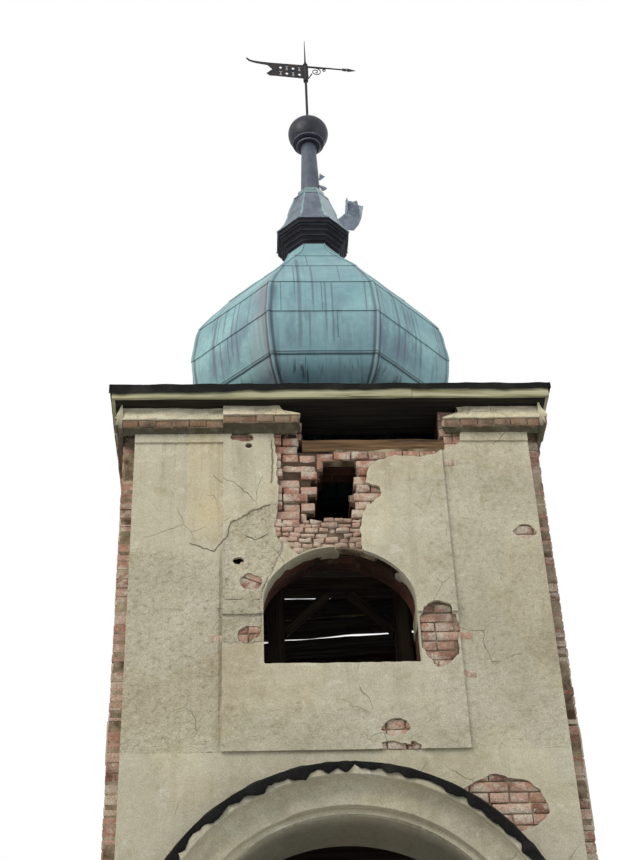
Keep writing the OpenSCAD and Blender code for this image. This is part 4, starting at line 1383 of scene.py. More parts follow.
def plank(
    start: Point, end: Point, up: Point, width: float, thick: float, seed: int,
    wear: float = 0.0015, step: float = 0.1, cut: float = 0.004, skew: float = 0.0,
) -> Shape:
    """A board or beam: a worn section carried from start to end.

    Args:
        start: middle of the first end.
        end: middle of the far end.
        up: direction of the width.
        width: size along up.
        thick: the other size.
        seed: picks its wear.
        wear: depth of the wear, drawn out along the grain.
        step: spacing of the stations.
        cut: size of the worn corners.
        skew: extra length of both ends for every unit of width, for mitred ends.

    Returns:
        A closed shape with grain coordinates.
    """
    a, b, v = (np.array(x, float) for x in (start, end, up))
    length = float(np.linalg.norm(b - a))
    axis = (b - a) / length
    v = v - axis * (v @ axis)
    v = v / np.linalg.norm(v)
    side = np.cross(axis, v)
    ring = section(width, thick, cut)
    rows = max(3, int(length / step) + 1)
    share = np.linspace(0.0, 1.0, rows)[:, None]
    w, t = np.tile(ring[:, 0], (rows, 1)), np.tile(ring[:, 1], (rows, 1))
    s = share * (length + skew * w) - (1 - share) * skew * w
    grain = np.stack([s + seed * 7.31, w, t], -1)
    rough = fbm(grain * [0.12, 1.0, 1.0], 0.045, seed) * wear
    waves = fbm(np.stack([s, 0 * s, 0 * s + seed], -1), 0.6, seed + 9, 2) * wear * 1.5
    grow = 1.0 + rough / (0.5 * min(width, thick))
    points = a + axis * s[..., None] + v * (w * grow)[..., None] + side * (t * grow + waves)[..., None]
    return tube(points, {"grain": grain})


@dataclass(frozen=True)
class Slope:
    """One side of the roof: across is its level direction, far the eaves, other the eaves beside it."""

    across: tuple[float, float]
    far: float
    other: float

    @property
    def pitch(self) -> float:
        """Rise for a unit of run."""
        return ROOF_RISE / (self.far - DECK_HALF)

    def width(self, d: Array) -> Array:
        """Half width between the hips at a distance from the middle."""
        return DECK_HALF + (d - DECK_HALF) * (self.other - DECK_HALF) / (self.far - DECK_HALF)

    def __call__(self, s: Array, d: Array, lift: Array) -> Array:
        """Point at s along the slope, d from the middle and lift above the rafters."""
        z = EAVES_Z + (self.far - d) * self.pitch + lift
        return Wall((0.0, 0.0), self.across)(s, z, d)


SLOPE_FRONT = Slope((1.0, 0.0), EAVES_Y, EAVES_X)
SLOPE_REAR = Slope((-1.0, 0.0), EAVES_Y, EAVES_X)
SLOPE_RIGHT = Slope((0.0, 1.0), EAVES_X, EAVES_Y)
SLOPE_LEFT = Slope((0.0, -1.0), EAVES_X, EAVES_Y)


@dataclass
class Masonry:
    """One wall laid again: a core, bricks with mortar where they are bare, and a plaster coat.

    The core is the frame's own wall with its outer face drawn in to leave room for the bricks.
    """

    node: str
    wall: Wall
    half: float
    low: float
    high: float
    opening: Opening
    seed: int
    grid: float = 0.024
    draw_in: float = 0.1
    face: float = -0.012
    losses: tuple[Loss, ...] = ()
    stands_for: tuple[str, ...] = ()
    finish: Plaster = PLASTER
    marks: tuple[str, ...] = ()
    cuts: tuple[tuple[float, float, float, float], ...] = ()
    datum: float = 0.0
    course: float = COURSE

    @property
    def lines(self) -> Array:
        """Heights of the bed joints: even up to the datum, then true courses to the head."""
        datum = self.datum or self.high
        count = int(round((datum - self.low) / self.course))
        above = datum + self.course * np.arange(1, 60)
        even = np.linspace(self.low, datum, count + 1)
        return np.concatenate([even, above[above < self.high - 0.02], [self.high] * (datum < self.high)])

    def bare(self, u: Array, v: Array) -> Array:
        """Signed distance into the areas that have lost their plaster.

        Args:
            u: metres across.
            v: metres up.

        Returns:
            The deepest of the losses, each with a ragged edge.
        """
        out = np.full(np.shape(u), -1.0)
        ragged = 0.03 * flat_noise(u, v, 0.14, self.seed) + 0.024 * flat_noise(u, v, 0.05, self.seed + 3)
        for loss in self.losses:
            out = np.maximum(out, loss.inside(u, v) + ragged)
        return out

    def open(self, u: Array, v: Array) -> Array:
        """Signed distance out of everything that is cut through the wall: the opening and the cuts.

        Args:
            u: metres across.
            v: metres up.

        Returns:
            Distance to the nearest of them, negative inside.
        """
        out = self.opening.signed(u, v)
        for u0, u1, v0, v1 in self.cuts:
            out = np.minimum(out, np.maximum.reduce([u0 - u, u - u1, v0 - 0.001 - v, v - v1 - 0.001]))
        return out

    def relief(self, u: Array, v: Array) -> Array:
        """Height of the plaster face."""
        return 0.0018 * flat_noise(u, v, 0.35, self.seed + 7) + 0.001 * flat_noise(u, v, 0.06, self.seed + 8)

    def level(self, u: Array, v: Array) -> Array:
        """Height of the brick face."""
        return np.full(np.shape(u), self.face)

    def recess(self, u: Array, v: Array) -> Array:
        """Depth to which the bricks are broken back."""
        return np.zeros(np.shape(u))

    def trim(self, boxes: Array) -> Array:
        """Bricks with everything cut off that would stand in an opening.

        Args:
            boxes: rows of u0, u1, v0, v1.

        Returns:
            The rows that are left.
        """
        mid = middles(boxes)[1]
        hole = self.opening
        reach = np.array([hole.half_at(v, STRETCHER if v > hole.spring else 0.0) for v in mid])
        boxes = cut_away(boxes, -reach, reach)
        mid = middles(boxes)[1]
        left, right = np.full(len(mid), 9.0), np.full(len(mid), -9.0)
        for u0, u1, v0, v1 in self.cuts:
            inside = (mid > v0) & (mid < v1)
            left, right = np.where(inside, u0, left), np.where(inside, u1, right)
        return cut_away(boxes, left, right, 0.02)

    def ring(self) -> Array:
        """Bricks of the arch: u runs along the edge of the opening, v away from it.

        Returns:
            One row a brick: u0, u1, v0, v1.
        """
        p, _, run = self.opening.path()
        on = p[:, 1] > self.opening.spring - 0.01
        s0, s1 = run[on][0], run[on][-1]
        n = int(round((s1 - s0) / 0.08))
        s = np.linspace(s0, s1, n + 1)
        return np.stack([s[:-1] + 0.005, s[1:] - 0.005, np.full(n, 0.004), np.full(n, 0.252)], -1)

    def around(self, u: Array, v: Array, n: Array) -> Array:
        """Mapping for the arch: u along the edge, v away from it, n out of the face."""
        return self.wall(*self.opening.beside(u, v), n)

    def build_core(self) -> None:
        """Copy the frame's wall, weld it and draw its outer face in."""
        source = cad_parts[self.node]
        work = bmesh.new()
        work.from_mesh(source.data)
        work.transform(source.matrix_world)
        bmesh.ops.remove_doubles(work, verts=work.verts, dist=WELD)
        ax, ay = self.wall.across
        out = np.array([ay, -ax])
        limit = abs(np.array(self.wall.origin) @ out)
        for vert in work.verts:
            n = vert.co.x * out[0] + vert.co.y * out[1] - limit
            if n > -0.005:
                vert.co.x -= out[0] * (n + self.draw_in)
                vert.co.y -= out[1] * (n + self.draw_in)
        bmesh.ops.remove_doubles(work, verts=work.verts, dist=WELD)
        bmesh.ops.dissolve_degenerate(work, edges=work.edges, dist=WELD)
        mesh = bpy.data.meshes.new(self.node + "_core")
        work.to_mesh(mesh)
        work.free()
        # The core takes the near-black inner brickwork: painted shade.
        show(mesh, INNER_SHADED, (self.node, *self.stands_for))

    def build_bricks(self) -> None:
        """Lay the bricks that show, and the mortar bed behind them."""
        rng = np.random.default_rng(self.seed)
        shapes = []
        flat = self.trim(bond(-self.half, self.half, self.lines, self.seed))
        for boxes, place, spot, wobble, tones in (
            (flat, self.wall, lambda u, v: (u, v), 0.003, (0.0, 1.0)),
            (self.ring(), self.around, self.opening.beside, 0.003, (0.0, 1.0)),
            (self.rubble(), self.wall, lambda u, v: (u, v), 0.012, (0.74, 0.86)),
        ):
            if not len(boxes):
                continue
            u, v = spot(*middles(boxes))
            shows = (self.bare(u, v) > -0.13) & (v < self.high) & (v > self.low)
            boxes, u, v = boxes[shows], u[shows], v[shows]
            if not len(boxes):
                continue
            depth = self.recess(u, v)
            gone = rng.random(len(u)) * (depth > 0.03) > 0.82
            front = self.level(u, v) - depth * rng.random(len(u)) - gone * 0.03
            rows = np.concatenate([boxes, front[:, None], np.full((len(u), 1), -self.draw_in - 0.004)], 1)
            rows[:, 4] = np.maximum(rows[:, 4], -self.draw_in + 0.012)
            wear = 0.006 if depth.mean() > 0 else 0.0035
            shapes.append(lay_bricks(place, rows, self.seed, wear, wobble, tones))
        if shapes:
            Shape.join(shapes).piece(self.node + "_bricks", BRICK, "brick", smooth=50)
            self.build_bed()

    def rubble(self) -> Array:
        """Broken pieces of brick that aren't laid in courses: none on a sound wall."""
        return np.zeros((0, 4))

    def build_bed(self) -> None:
        """The mortar behind the bricks: a gritty sheet a little way back from their faces."""
        us, vs = ruled(-self.half, self.half, 0.03), ruled(self.low, self.high, 0.03)
        bed = masked_sheet(
            us,
            vs,
            lambda u, v: np.minimum(self.bare(u, v) + 0.1, self.open(u, v)),
            lambda u, v: (
                self.level(u, v) - 0.013 - 0.75 * self.recess(u, v) + 0.005 * flat_noise(u, v, 0.05, 5)
            ),
            lambda u, v: 0.08 - 0.7 * self.recess(u, v),
            self.wall,
            # Painted shade mark for the mortar: full where the bricks are broken back 50 mm.
            {"soot": lambda u, v: np.clip(self.recess(u, v) / 0.05, 0.0, 1.0)},
        )
        bed.piece(self.node + "_mortar", MORTAR, "brick")

    def build_coat(self) -> None:
        """The plaster over the face, open at the losses and turned in at every edge."""
        edges = self.band_edges()
        us = ruled(-self.half, self.half, self.grid, edges[0])
        vs = ruled(self.low, self.high, self.grid, edges[1])

        def depth(u: Array, v: Array) -> Array:
            """Deep returns at the corners of the wall, shallow ones elsewhere.

            Args:
                u: metres across.
                v: metres up.

            Returns:
                How far the edge of the coat turns in.
            """
            outer = np.abs(u) > self.half - 0.004
            jamb = self.opening.signed(u, v) < 0.02
            return np.where(outer, 0.112, np.where(jamb, 0.04, 0.022))

        coat = masked_sheet(
            us,
            vs,
            lambda u, v: np.minimum(-self.bare(u, v), self.open(u, v) + 0.008),
            self.relief,
            depth,
            self.wall,
            {key: getattr(self, key) for key in self.marks},
        )
        coat.piece(self.node + "_plaster", self.finish, "plaster", smooth=35)

    def band_edges(self) -> tuple[tuple[float, ...], tuple[float, ...]]:
        """Places across and up where the plaster steps in or out."""
        return (), ()

    def build_reveal(self, lost: Field, front: float = 0.0) -> None:
        """Plaster on the jambs and the underside of the arch, with painted shade deeper in.

        Args:
            lost: signed distance into the bare parts, from depth and length along the edge.
            front: how far the face stands out at the opening.
        """
        run = float(self.opening.path()[2][-1])

        def soot(u: Array, v: Array) -> Array:
            """Painted shade: darker deeper into the wall, along a wandering line."""
            return 0.15 + 0.55 * smooth_step(u + 0.03 * flat_noise(u, v, 0.1, 3), -front, 0.2)

        sheet = masked_sheet(
            ruled(-front, self.opening.wall, 0.025),
            ruled(0.0, run, 0.025),
            lambda u, v: -lost(u, v),
            lambda u, v: 0.008 + 0.002 * flat_noise(u, v, 0.2, self.seed + 1),
            lambda u, v: np.full(np.shape(u), 0.011),
            self.opening.reveal(self.wall),
            {"soot": soot},
        )
        sheet.piece(self.node + "_reveal", PLASTER, "plaster", smooth=35)

    def build(self) -> None:
        """Build the core, the bricks, the coat and the reveal."""
        self.build_core()
        self.build_bricks()
        self.build_coat()
        self.build_reveal(self.reveal_lost, self.reveal_front())

    def reveal_lost(self, u: Array, v: Array) -> Array:
        """Signed distance into the bare parts of the reveal: scattered patches."""
        return 0.16 * (flat_noise(u, v, 0.45, self.seed + 21) - 0.62)

    def reveal_front(self) -> float:
        """How far the face stands out of the wall plane at the opening."""
        return 0.0


@dataclass
class BellWall(Masonry):
    """Plastered wall of the bell storey: raised bay, impost bands and frieze band in the coat."""

    bay: float = 0.83
    bay_out: float = 0.02

    def in_bay(self, u: Array, v: Array) -> Array:
        """True on the raised middle bay."""
        return (np.abs(u) < self.bay) & (v < 8.19)

    def level(self, u: Array, v: Array) -> Array:
        """Bricks of the bay stand out with it."""
        return np.where(self.in_bay(u, v), self.face + 0.016, self.face)

    def relief(self, u: Array, v: Array) -> Array:
        """The bay, the impost bands and the frieze band, over the trowel waves."""
        n = super().relief(u, v)
        bay = self.in_bay(u, v)
        n = n + self.bay_out * bay
        impost = bay & (np.abs(u) > 0.52) & (v > 6.654) & (v < 6.77)
        frieze = (v > 8.19) & (v < 8.27)
        return n + 0.015 * impost + 0.015 * frieze

    def band_edges(self) -> tuple[tuple[float, ...], tuple[float, ...]]:
        """Edges of the bay and of the bands."""
        return (-self.bay, self.bay), (6.654, 6.77, 8.19, 8.27)

    def reveal_front(self) -> float:
        """The bay stands out at the opening."""
        return self.bay_out


@dataclass
class FrontBell(BellWall):
    """The broken front of the bell storey: a toothed hole, a fallen cornice and a large bare area."""

    sockets: tuple[tuple[float, float, float, float], ...] = (
        (-0.636, 8.152, 0.036, 0.032), (-0.719, 7.108, 0.056, 0.036),
    )
    bare_outline: Pairs = (
        (-0.45, 8.27), (-0.445, 8.20), (-0.424, 8.06), (-0.435, 7.87), (-0.412, 7.77), (-0.43, 7.56),
        (-0.45, 7.40), (-0.435, 7.34), (-0.389, 7.245), (-0.282, 7.15), (-0.20, 7.08), (0.22, 7.05),
        (0.19, 7.24), (0.17, 7.35), (0.18, 7.47), (0.22, 7.60), (0.35, 7.66), (0.33, 7.75), (0.24, 7.80),
        (0.26, 7.92), (0.33, 8.0), (0.42, 8.03), (0.75, 8.04), (0.98, 8.19), (0.98, 8.52), (-0.45, 8.52),
    )
    worn_outline: Pairs = (
        (-0.44, 7.62), (-0.49, 7.595), (-0.60, 7.545), (-0.767, 7.442), (-0.81, 7.33), (-0.828, 7.25),
        (-0.828, 6.43), (-0.50, 6.43), (-0.53, 6.9), (-0.40, 7.2), (-0.42, 7.4),
    )
    scored: tuple[float, ...] = (-1.186, -1.104)

    def open(self, u: Array, v: Array) -> Array:
        """The cuts, a ragged sill and the two sockets, broken wider than they were made."""
        rough = flat_noise(u, v, 0.05, self.seed + 40)
        out = super().open(u, v) + 0.006 * rough * (v < 6.33)
        for x, z, a, b in self.sockets:
            out = np.minimum(out, (np.hypot((u - x) / a, (v - z) / b) - 1.0) * b + 0.006 * rough)
        return out

    def bare(self, u: Array, v: Array) -> Array:
        """The large bare area round the hole, its outline made ragged, and the small losses."""
        ragged = 0.022 * flat_noise(u, v, 0.16, self.seed) + 0.02 * flat_noise(u, v, 0.055, self.seed + 3)
        large = polygon_distance(u, v, np.array(self.bare_outline)) + ragged
        return np.maximum(super().bare(u, v), large)

    def worn(self, u: Array, v: Array) -> Array:
        """1 where the top coat has come off and the rough undercoat shows.

        Args:
            u: metres across.
            v: metres up.

        Returns:
            0 to 1, soft over 8 mm.
        """
        edge = 0.012 * flat_noise(u, v, 0.07, self.seed + 11)
        main = polygon_distance(u, v, np.array(self.worn_outline)) + edge
        return smooth_step(main, -0.004, 0.004)

    def grit(self, u: Array, v: Array) -> Array:
        """How coarse the plaster is: the worn area, and the lower left part of the wall.

        Args:
            u: metres across.
            v: metres up.

        Returns:
            0 to 1.
        """
        below = 7.30 - v + 0.08 * flat_noise(u, v, 0.3, 7)
        left = smooth_step(-0.83 - u, 0.0, 0.03) * smooth_step(below, 0.0, 0.15)
        right = smooth_step(u, 0.5, 0.8) * 0.5
        apron = smooth_step(v, 6.0, 5.9) * 0.4
        return np.clip(np.maximum.reduce([self.worn(u, v), 0.75 * left, right, apron]), 0.0, 1.0)

    def warm(self, u: Array, v: Array) -> Array:
        """The yellower panel at the left of the bay."""
        return smooth_step(u, -1.104, -1.09) * smooth_step(u, -0.83, -0.845) * smooth_step(v, 7.2, 7.5)

    def relief(self, u: Array, v: Array) -> Array:
        """Scored joints, the worn area beside the opening and a coarser coat at the left."""
        n = super().relief(u, v)
        grit = flat_noise(u, v, 0.045, self.seed + 12)
        n = n - self.worn(u, v) * 0.007 + 0.0055 * self.grit(u, v) * grit
        for x in self.scored:
            n = n - 0.004 * (np.abs(u - x) < 0.004)
        return n

    def band_edges(self) -> tuple[tuple[float, ...], tuple[float, ...]]:
        """The scored joints are edges too."""
        across, up = super().band_edges()
        return across + self.scored, up

    def recess(self, u: Array, v: Array) -> Array:
        """Deeply broken left of the hole, and along its lower edge."""
        left = smooth_step(u, -0.46, -0.36) * smooth_step(u, 0.04, -0.04) * smooth_step(v, 7.42, 7.5)
        left = left * smooth_step(v, 8.07, 7.99)
        low = smooth_step(v, 7.18, 7.3) * smooth_step(v, 7.52, 7.45) * smooth_step(np.abs(u), 0.42, 0.2)
        right = smooth_step(u, 0.02, 0.1) * smooth_step(u, 0.42, 0.3) * smooth_step(v, 7.46, 7.52)
        head = smooth_step(u, -0.46, -0.40) * smooth_step(u, 0.04, -0.02) * smooth_step(v, 8.02, 8.06)
        return 0.07 * np.maximum.reduce([left, 0.45 * low, 0.8 * head]) + 0.02 * right

    def trim(self, boxes: Array) -> Array:
        """No brick stands in a socket."""
        boxes = super().trim(boxes)
        u, v = middles(boxes)
        keep = np.ones(len(boxes), bool)
        for x, z, a, b in self.sockets:
            keep &= (np.abs(u - x) > a + 0.5 * (boxes[:, 1] - boxes[:, 0])) | (np.abs(v - z) > b + 0.02)
        return boxes[keep]

    def ring(self) -> Array:
        """The crown of the arch has lost its shape; only the haunches keep their ring."""
        boxes = super().ring()
        u, _ = self.opening.beside(*middles(boxes))
        return boxes[np.abs(u) > 0.47]

    def rubble(self) -> Array:
        """Lumps of brick between the crown of the arch and the hole, packed in rough rows."""
        rng = np.random.default_rng(self.seed + 50)
        rows = []
        v = 7.0
        while v < 7.48:
            h = rng.uniform(0.042, 0.072)
            h = min(h, 7.489 - v)
            u = -0.50 + rng.uniform(0.0, 0.05)
            while u < 0.48:
                w = rng.uniform(0.045, 0.115)
                rows.append((u + 0.004, u + w - 0.004, v + 0.004, v + h - 0.002 - rng.uniform(0.0, 0.008)))
                u += w
            v += h
        boxes = np.array(rows)
        corners = [(boxes[:, a], boxes[:, b]) for a in (0, 1) for b in (2, 3)]
        clear = np.min([self.opening.signed(*corner) for corner in corners], axis=0)
        return boxes[clear > 0.004]

    def reveal_lost(self, u: Array, v: Array) -> Array:
        """The right part of the crown is broken; the right jamb has lost its coat but for the edge."""
        run = float(self.opening.path()[2][-1])
        noise = 0.08 * flat_noise(u, v, 0.1, self.seed + 21)
        crown = 0.25 - np.abs(v - 0.60 * run) + noise
        jamb = np.minimum(0.22 - np.abs(v - run + 0.12), u - 0.03) + noise
        deep = np.minimum(u - 0.105 + noise, 0.5 * run - 0.5 - np.abs(v - 0.5 * run))
        return np.maximum.reduce([crown, jamb, deep, super().reveal_lost(u, v)])


@dataclass
class SideWall(Masonry):
    """Bare brick side wall, standing proud of the corners, with a few remnants of plaster."""

    remnant: float = 0.36

    def bare(self, u: Array, v: Array) -> Array:
        """All of the wall is bare."""
        return np.full(np.shape(u), 1.0)

    def left_over(self, u: Array, v: Array) -> Array:
        """Signed distance into the remnants of plaster: where broad noise is high."""
        broad = flat_noise(u, v, 0.9, self.seed + 31, 4)
        return 0.22 * (broad - self.remnant) + 0.012 * flat_noise(u, v, 0.07, self.seed + 32)

    def build(self) -> None:
        """Core, bricks, bed and remnants."""
        self.build_core()
        self.build_bricks()
        rest = masked_sheet(
            ruled(-self.half + 0.01, self.half - 0.01, 0.03),
            ruled(self.low, self.high - 0.02, 0.03),
            lambda u, v: np.minimum(self.left_over(u, v), self.open(u, v) - 0.02),
            lambda u, v: 0.006 + 0.002 * flat_noise(u, v, 0.08, self.seed + 33),
            lambda u, v: np.full(np.shape(u), 0.012),
            self.wall,
        )
        rest.piece(self.node + "_remnants", PLASTER, "plaster", smooth=35)


@dataclass
class Cornice:
    """A run of cornice: hollow cove, a course of headers standing out, and crumbling plaster above."""

    node: str
    wall: Wall
    runs: tuple[tuple[float, float, float, float, int], ...]
    seed: int
    foot: float = 8.27

    def outline(self, proj: float, cove_h: float) -> Array:
        """Section as (out, up), from the foot of the cove round to the top, then down the back.

        Args:
            proj: how far the headers stand out.
            cove_h: height of the cove.

        Returns:
            Points in order, shape (n, 2).
        """
        a, c = np.linspace(0.0, math.pi / 2, 7), cove_h
        cove = np.stack([0.018 + (proj - 0.040) * (1 - np.cos(a)), c * np.sin(a)], -1)
        seat = [[proj - 0.021, c + 0.003], [proj - 0.022, c + 0.034], [proj - 0.022, c + 0.065]]
        slope = [[proj, c + 0.069], [proj, c + 0.082], [proj - 0.006, c + 0.096]]
        upper = [[proj - 0.012, 0.5 * c + 0.128], [proj - 0.024, 0.165]]
        upper += [[proj - 0.031, 0.186], [proj - 0.037, 0.208]]
        back = [[proj - 0.044, 0.2295], [0.0, 0.2295], [-0.004, 0.15], [-0.004, 0.0]]
        return np.concatenate([cove, seat, slope, upper, back])

    def ragged(self, u: Array, h: Array, n: Array, ends: tuple[float, float], broken: int) -> Array:
        """Pull the broken end of a run back by noise, most of all in its upper course.

        Args:
            u: along the wall.
            h: height over the foot.
            n: out of the wall.
            ends: both ends of the run.
            broken: -1 or 1 for a broken end, 0 for none.

        Returns:
            Places along the wall after the loss.
        """
        if not broken:
            return u
        gone = smooth_step(np.abs(u - ends[broken > 0]), 0.30, 0.0)
        crumbs = fbm(np.stack([0 * u, h, n], -1), 0.06, self.seed + 9, 2)
        bite = 0.022 + 0.035 * crumbs + 0.13 * smooth_step(h, 0.10, 0.18)
        return u - broken * gone * np.clip(bite, 0.0, 0.19)

    def body(self, u0: float, u1: float, proj: float, cove_h: float, broken: int) -> Shape:
        """Plastered part: the section carried along the wall and crumbled by noise, with painted shade in the
        cove.

        Args:
            u0: start of the run.
            u1: its end.
            proj: how far the headers stand out.
            cove_h: height of the cove.
            broken: -1 or 1 for a broken end, 0 for none.

        Returns:
            The closed shape.
        """
        ring = self.outline(proj, cove_h)
        us = np.linspace(u0, u1, max(3, int((u1 - u0) / 0.015)))
        u, n = np.meshgrid(us, ring[:, 0], indexing="ij")
        h = np.tile(ring[:, 1], (len(us), 1))
        top = smooth_step(h, cove_h + 0.066, cove_h + 0.078) * (n > 0.01)
        lump = fbm(np.stack([u, h, n], -1), 0.06, self.seed, 4)
        wide = np.clip(fbm(np.stack([u, 0 * u, 0 * u], -1), 0.26, self.seed + 4, 2) + 0.1, 0, 1)
        fade = np.clip(n / 0.03, 0.0, 1.0) * (h < 0.229)
        moved = n + fade * (0.003 * lump + 0.014 * top * np.minimum(lump, 0.3)) - top * 0.016 * wide
        rim = np.clip(top * (lump > 0.25), 0, 1)
        # Painted shade: the cove is marked full and the seat behind the headers at 0.55.
        under = 0.55 * smooth_step(h, cove_h + 0.074, cove_h + 0.062)
        soot = np.clip(np.where(h < cove_h + 0.002, 1.0 + 0.3 * lump, under), 0.0, 1.0)
        place = self.wall(self.ragged(u, h, n, (u0, u1), broken), self.foot + h, moved)
        return tube(place, {"rim": rim, "grit": 0.25 + 0.12 * top, "soot": soot})

    def course(self, u0: float, u1: float, proj: float, cove_h: float, broken: int, seed: int) -> Array:
        """The course of headers that stands out over the cove.

        Args:
            u0: start of the run.
            u1: its end.
            proj: how far the headers stand out.
            cove_h: height of the cove.
            broken: -1 or 1 for a broken end, 0 for none.
            seed: picks the small errors.

        Returns:
            One row a brick, with its front and back.
        """
        rng = np.random.default_rng(seed)
        u0, u1 = u0 + 0.03 * (broken < 0), u1 - 0.03 * (broken > 0)
        ends = np.concatenate([[u0], np.arange(u0 + 0.128, u1 - 0.03, 0.128)])
        rows = len(ends)
        stop = np.append(ends[1:], u1)
        front = proj - 0.001 - 0.007 * rng.random(rows) - 0.009 * (rng.random(rows) > 0.8)
        foot = self.foot + cove_h + 0.003 + rng.normal(0, 0.001, rows)
        return np.stack([ends + 0.003, stop - 0.003, foot, foot + 0.062, front, np.full(rows, 0.002)], -1)

    def build(self) -> None:
        """Build all runs of this cornice."""
        bodies = [self.body(*run) for run in self.runs]
        Shape.join(bodies).piece(
            self.node + "_body", LIT_CORNICE_PLASTER, "cornice", (self.node,), smooth=35, mend=True
        )
        rows = np.concatenate([self.course(*run, self.seed + k) for k, run in enumerate(self.runs)])
        lay_bricks(self.wall, rows, self.seed, 0.004, 0.004).piece(
            self.node + "_headers", SOOTY_BRICK, "cornice", smooth=50
        )


@dataclass
class Hood:
    """Moulded hood round the gateway arch, with felt dressed over it."""

    inner: float = 1.12
    band: float = 0.24
    proj: float = 0.15
    centre: float = 4.07

    def build(self) -> None:
        """Sweep the moulding and the felt over the arch on both faces."""
        shapes, sheets = [], []
        for k, wall in enumerate((FRONT, REAR)):
            shapes.append(self.moulding(wall, 60 + k))
            sheets.append(self.felt(wall, 70 + k))
        Shape.join(shapes).piece("hood_moulding", PLASTER, "plaster", ("portal_hoods",), smooth=35, mend=True)
        Shape.join(sheets).piece("hood_felt_sheet", FELT, "felt", ("hood_felt",), mend=True)

    def moulding(self, wall: Wall, seed: int) -> Shape:
        """Section of fillets and a hollow, carried round the half circle and crumbled by noise.

        Args:
            wall: face of the wall.
            seed: picks its wear.

        Returns:
            The closed shape.
        """
        a = np.linspace(0, math.pi / 2, 6)
        hollow = np.stack([0.09 + 0.07 * np.sin(a), 0.05 + 0.055 * (1 - np.cos(a))], -1)
        r = [[0.0, -0.01], [0.0, 0.04], [0.004, 0.048], [0.08, 0.05]]
        rest = [[0.165, 0.108], [0.168, 0.142], [0.174, 0.149], [0.236, 0.15], [0.24, 0.146], [0.24, -0.01]]
        ring = np.concatenate([r, hollow, rest])
        turn = np.linspace(math.pi, 0.0, 150)
        t, rr = np.meshgrid(turn, ring[:, 0] + self.inner, indexing="ij")
        n = np.tile(ring[:, 1], (len(turn), 1))
        lump = fbm(np.stack([t * 1.2, rr, n], -1), 0.08, seed)
        keep = np.clip(n / 0.03, 0, 1)
        worn = np.clip(fbm(np.stack([t, 0 * t, n], -1), 0.2, seed + 3) - 0.2, 0, 1)
        n = n + keep * 0.007 * lump - keep * 0.035 * worn
        points = wall(rr * np.cos(t), self.centre + rr * np.sin(t), n)
        return tube(points, {"rim": np.clip(lump - 0.2, 0, 0.6)})

    def felt(self, wall: Wall, seed: int) -> Shape:
        """A wavy sheet over the top of the hood with a ragged lip.

        Args:
            wall: face of the wall.
            seed: picks its wear.

        Returns:
            The closed shape.
        """
        turn = np.linspace(math.pi + 0.004, -0.004, 190)
        out = np.linspace(0.0, 1.0, 9)
        t, o = np.meshgrid(turn, out, indexing="ij")
        wave = fbm(np.stack([t * 1.4, o * 0.1, 0 * t], -1), 0.12, seed)
        torn = fbm(np.stack([t * 1.4, 0 * t, 0 * t], -1), 0.06, seed + 2)
        lip = self.proj + 0.012 + 0.014 * torn
        r = self.inner + self.band + 0.004 + 0.005 * (wave + 1.0) * (0.3 + o)
        flat = np.minimum(o / 0.85, 1.0) * lip
        hang = smooth_step(o, 0.80, 1.0) * np.clip(0.058 + 0.03 * wave + 0.04 * torn, 0.012, 0.12)
        outer, inner = (
            wall(ray * np.cos(t), self.centre + ray * np.sin(t), lift)
            for ray, lift in ((r + 0.016, flat + 0.008 * (o > 0.84)), (r - 0.001, flat * 0.995))
        )
        down = np.stack([-np.cos(t), 0 * t, -np.sin(t)], -1) * hang[..., None]
        if wall is REAR:
            down[..., 0] *= -1.0
        return shell(outer + down, inner + down)


@dataclass
class Timbers:
    """Hewn timbers that show through the broken wall: plate, posts, tie beam and braces."""

    post_y: float = -0.35
    posts: tuple[float, float] = (-0.43, 0.56)
    post: float = 0.13
    foot: float = 5.77
    tie: float = 7.55

    def build(self) -> None:
        """Build each timber from its axis."""
        y, z = -1.395, 8.185
        plate = plank((-0.23, y, z), (0.86, y, z), (0, 0, 1), 0.112, 0.146, 3, 0.012, 0.03, 0.014)
        plate.piece("wall_plate_beam", PLATE_OAK, "old_timber", ("front_wall_plate",), mend=True)
        y, post = self.post_y, self.post
        uprights = [
            plank((x, y, self.foot), (x, y, self.tie), (0, 1, 0), post, post, 5 + k, 0.004, 0.06, 0.012)
            for k, x in enumerate(self.posts)
        ]
        Shape.join(uprights).piece("post_timbers", OAK, "old_timber", ("inner_posts",), mend=True)
        z = self.tie + post / 2
        tie = plank((-1.3, y, z), (1.3, y, z), (0, 0, 1), post, 0.138, 8, 0.005, 0.06, 0.014)
        tie.piece("tie_timber", OAK, "old_timber", ("tie_beam",), mend=True)
        struts = []
        for k, x in enumerate(self.posts):
            s = 1.0 if k == 0 else -1.0
            x0 = x + s * post / 2
            a, b = (x0 - s * 0.01, y, self.tie - 0.355), (x0 + s * 0.335, y, self.tie - 0.01)
            struts.append(plank(a, b, (0, 0, 1), 0.064, 0.078, 11 + k, 0.003, 0.05, 0.008))
        Shape.join(struts).piece("brace_timbers", OAK, "old_timber", ("braces",), mend=True)


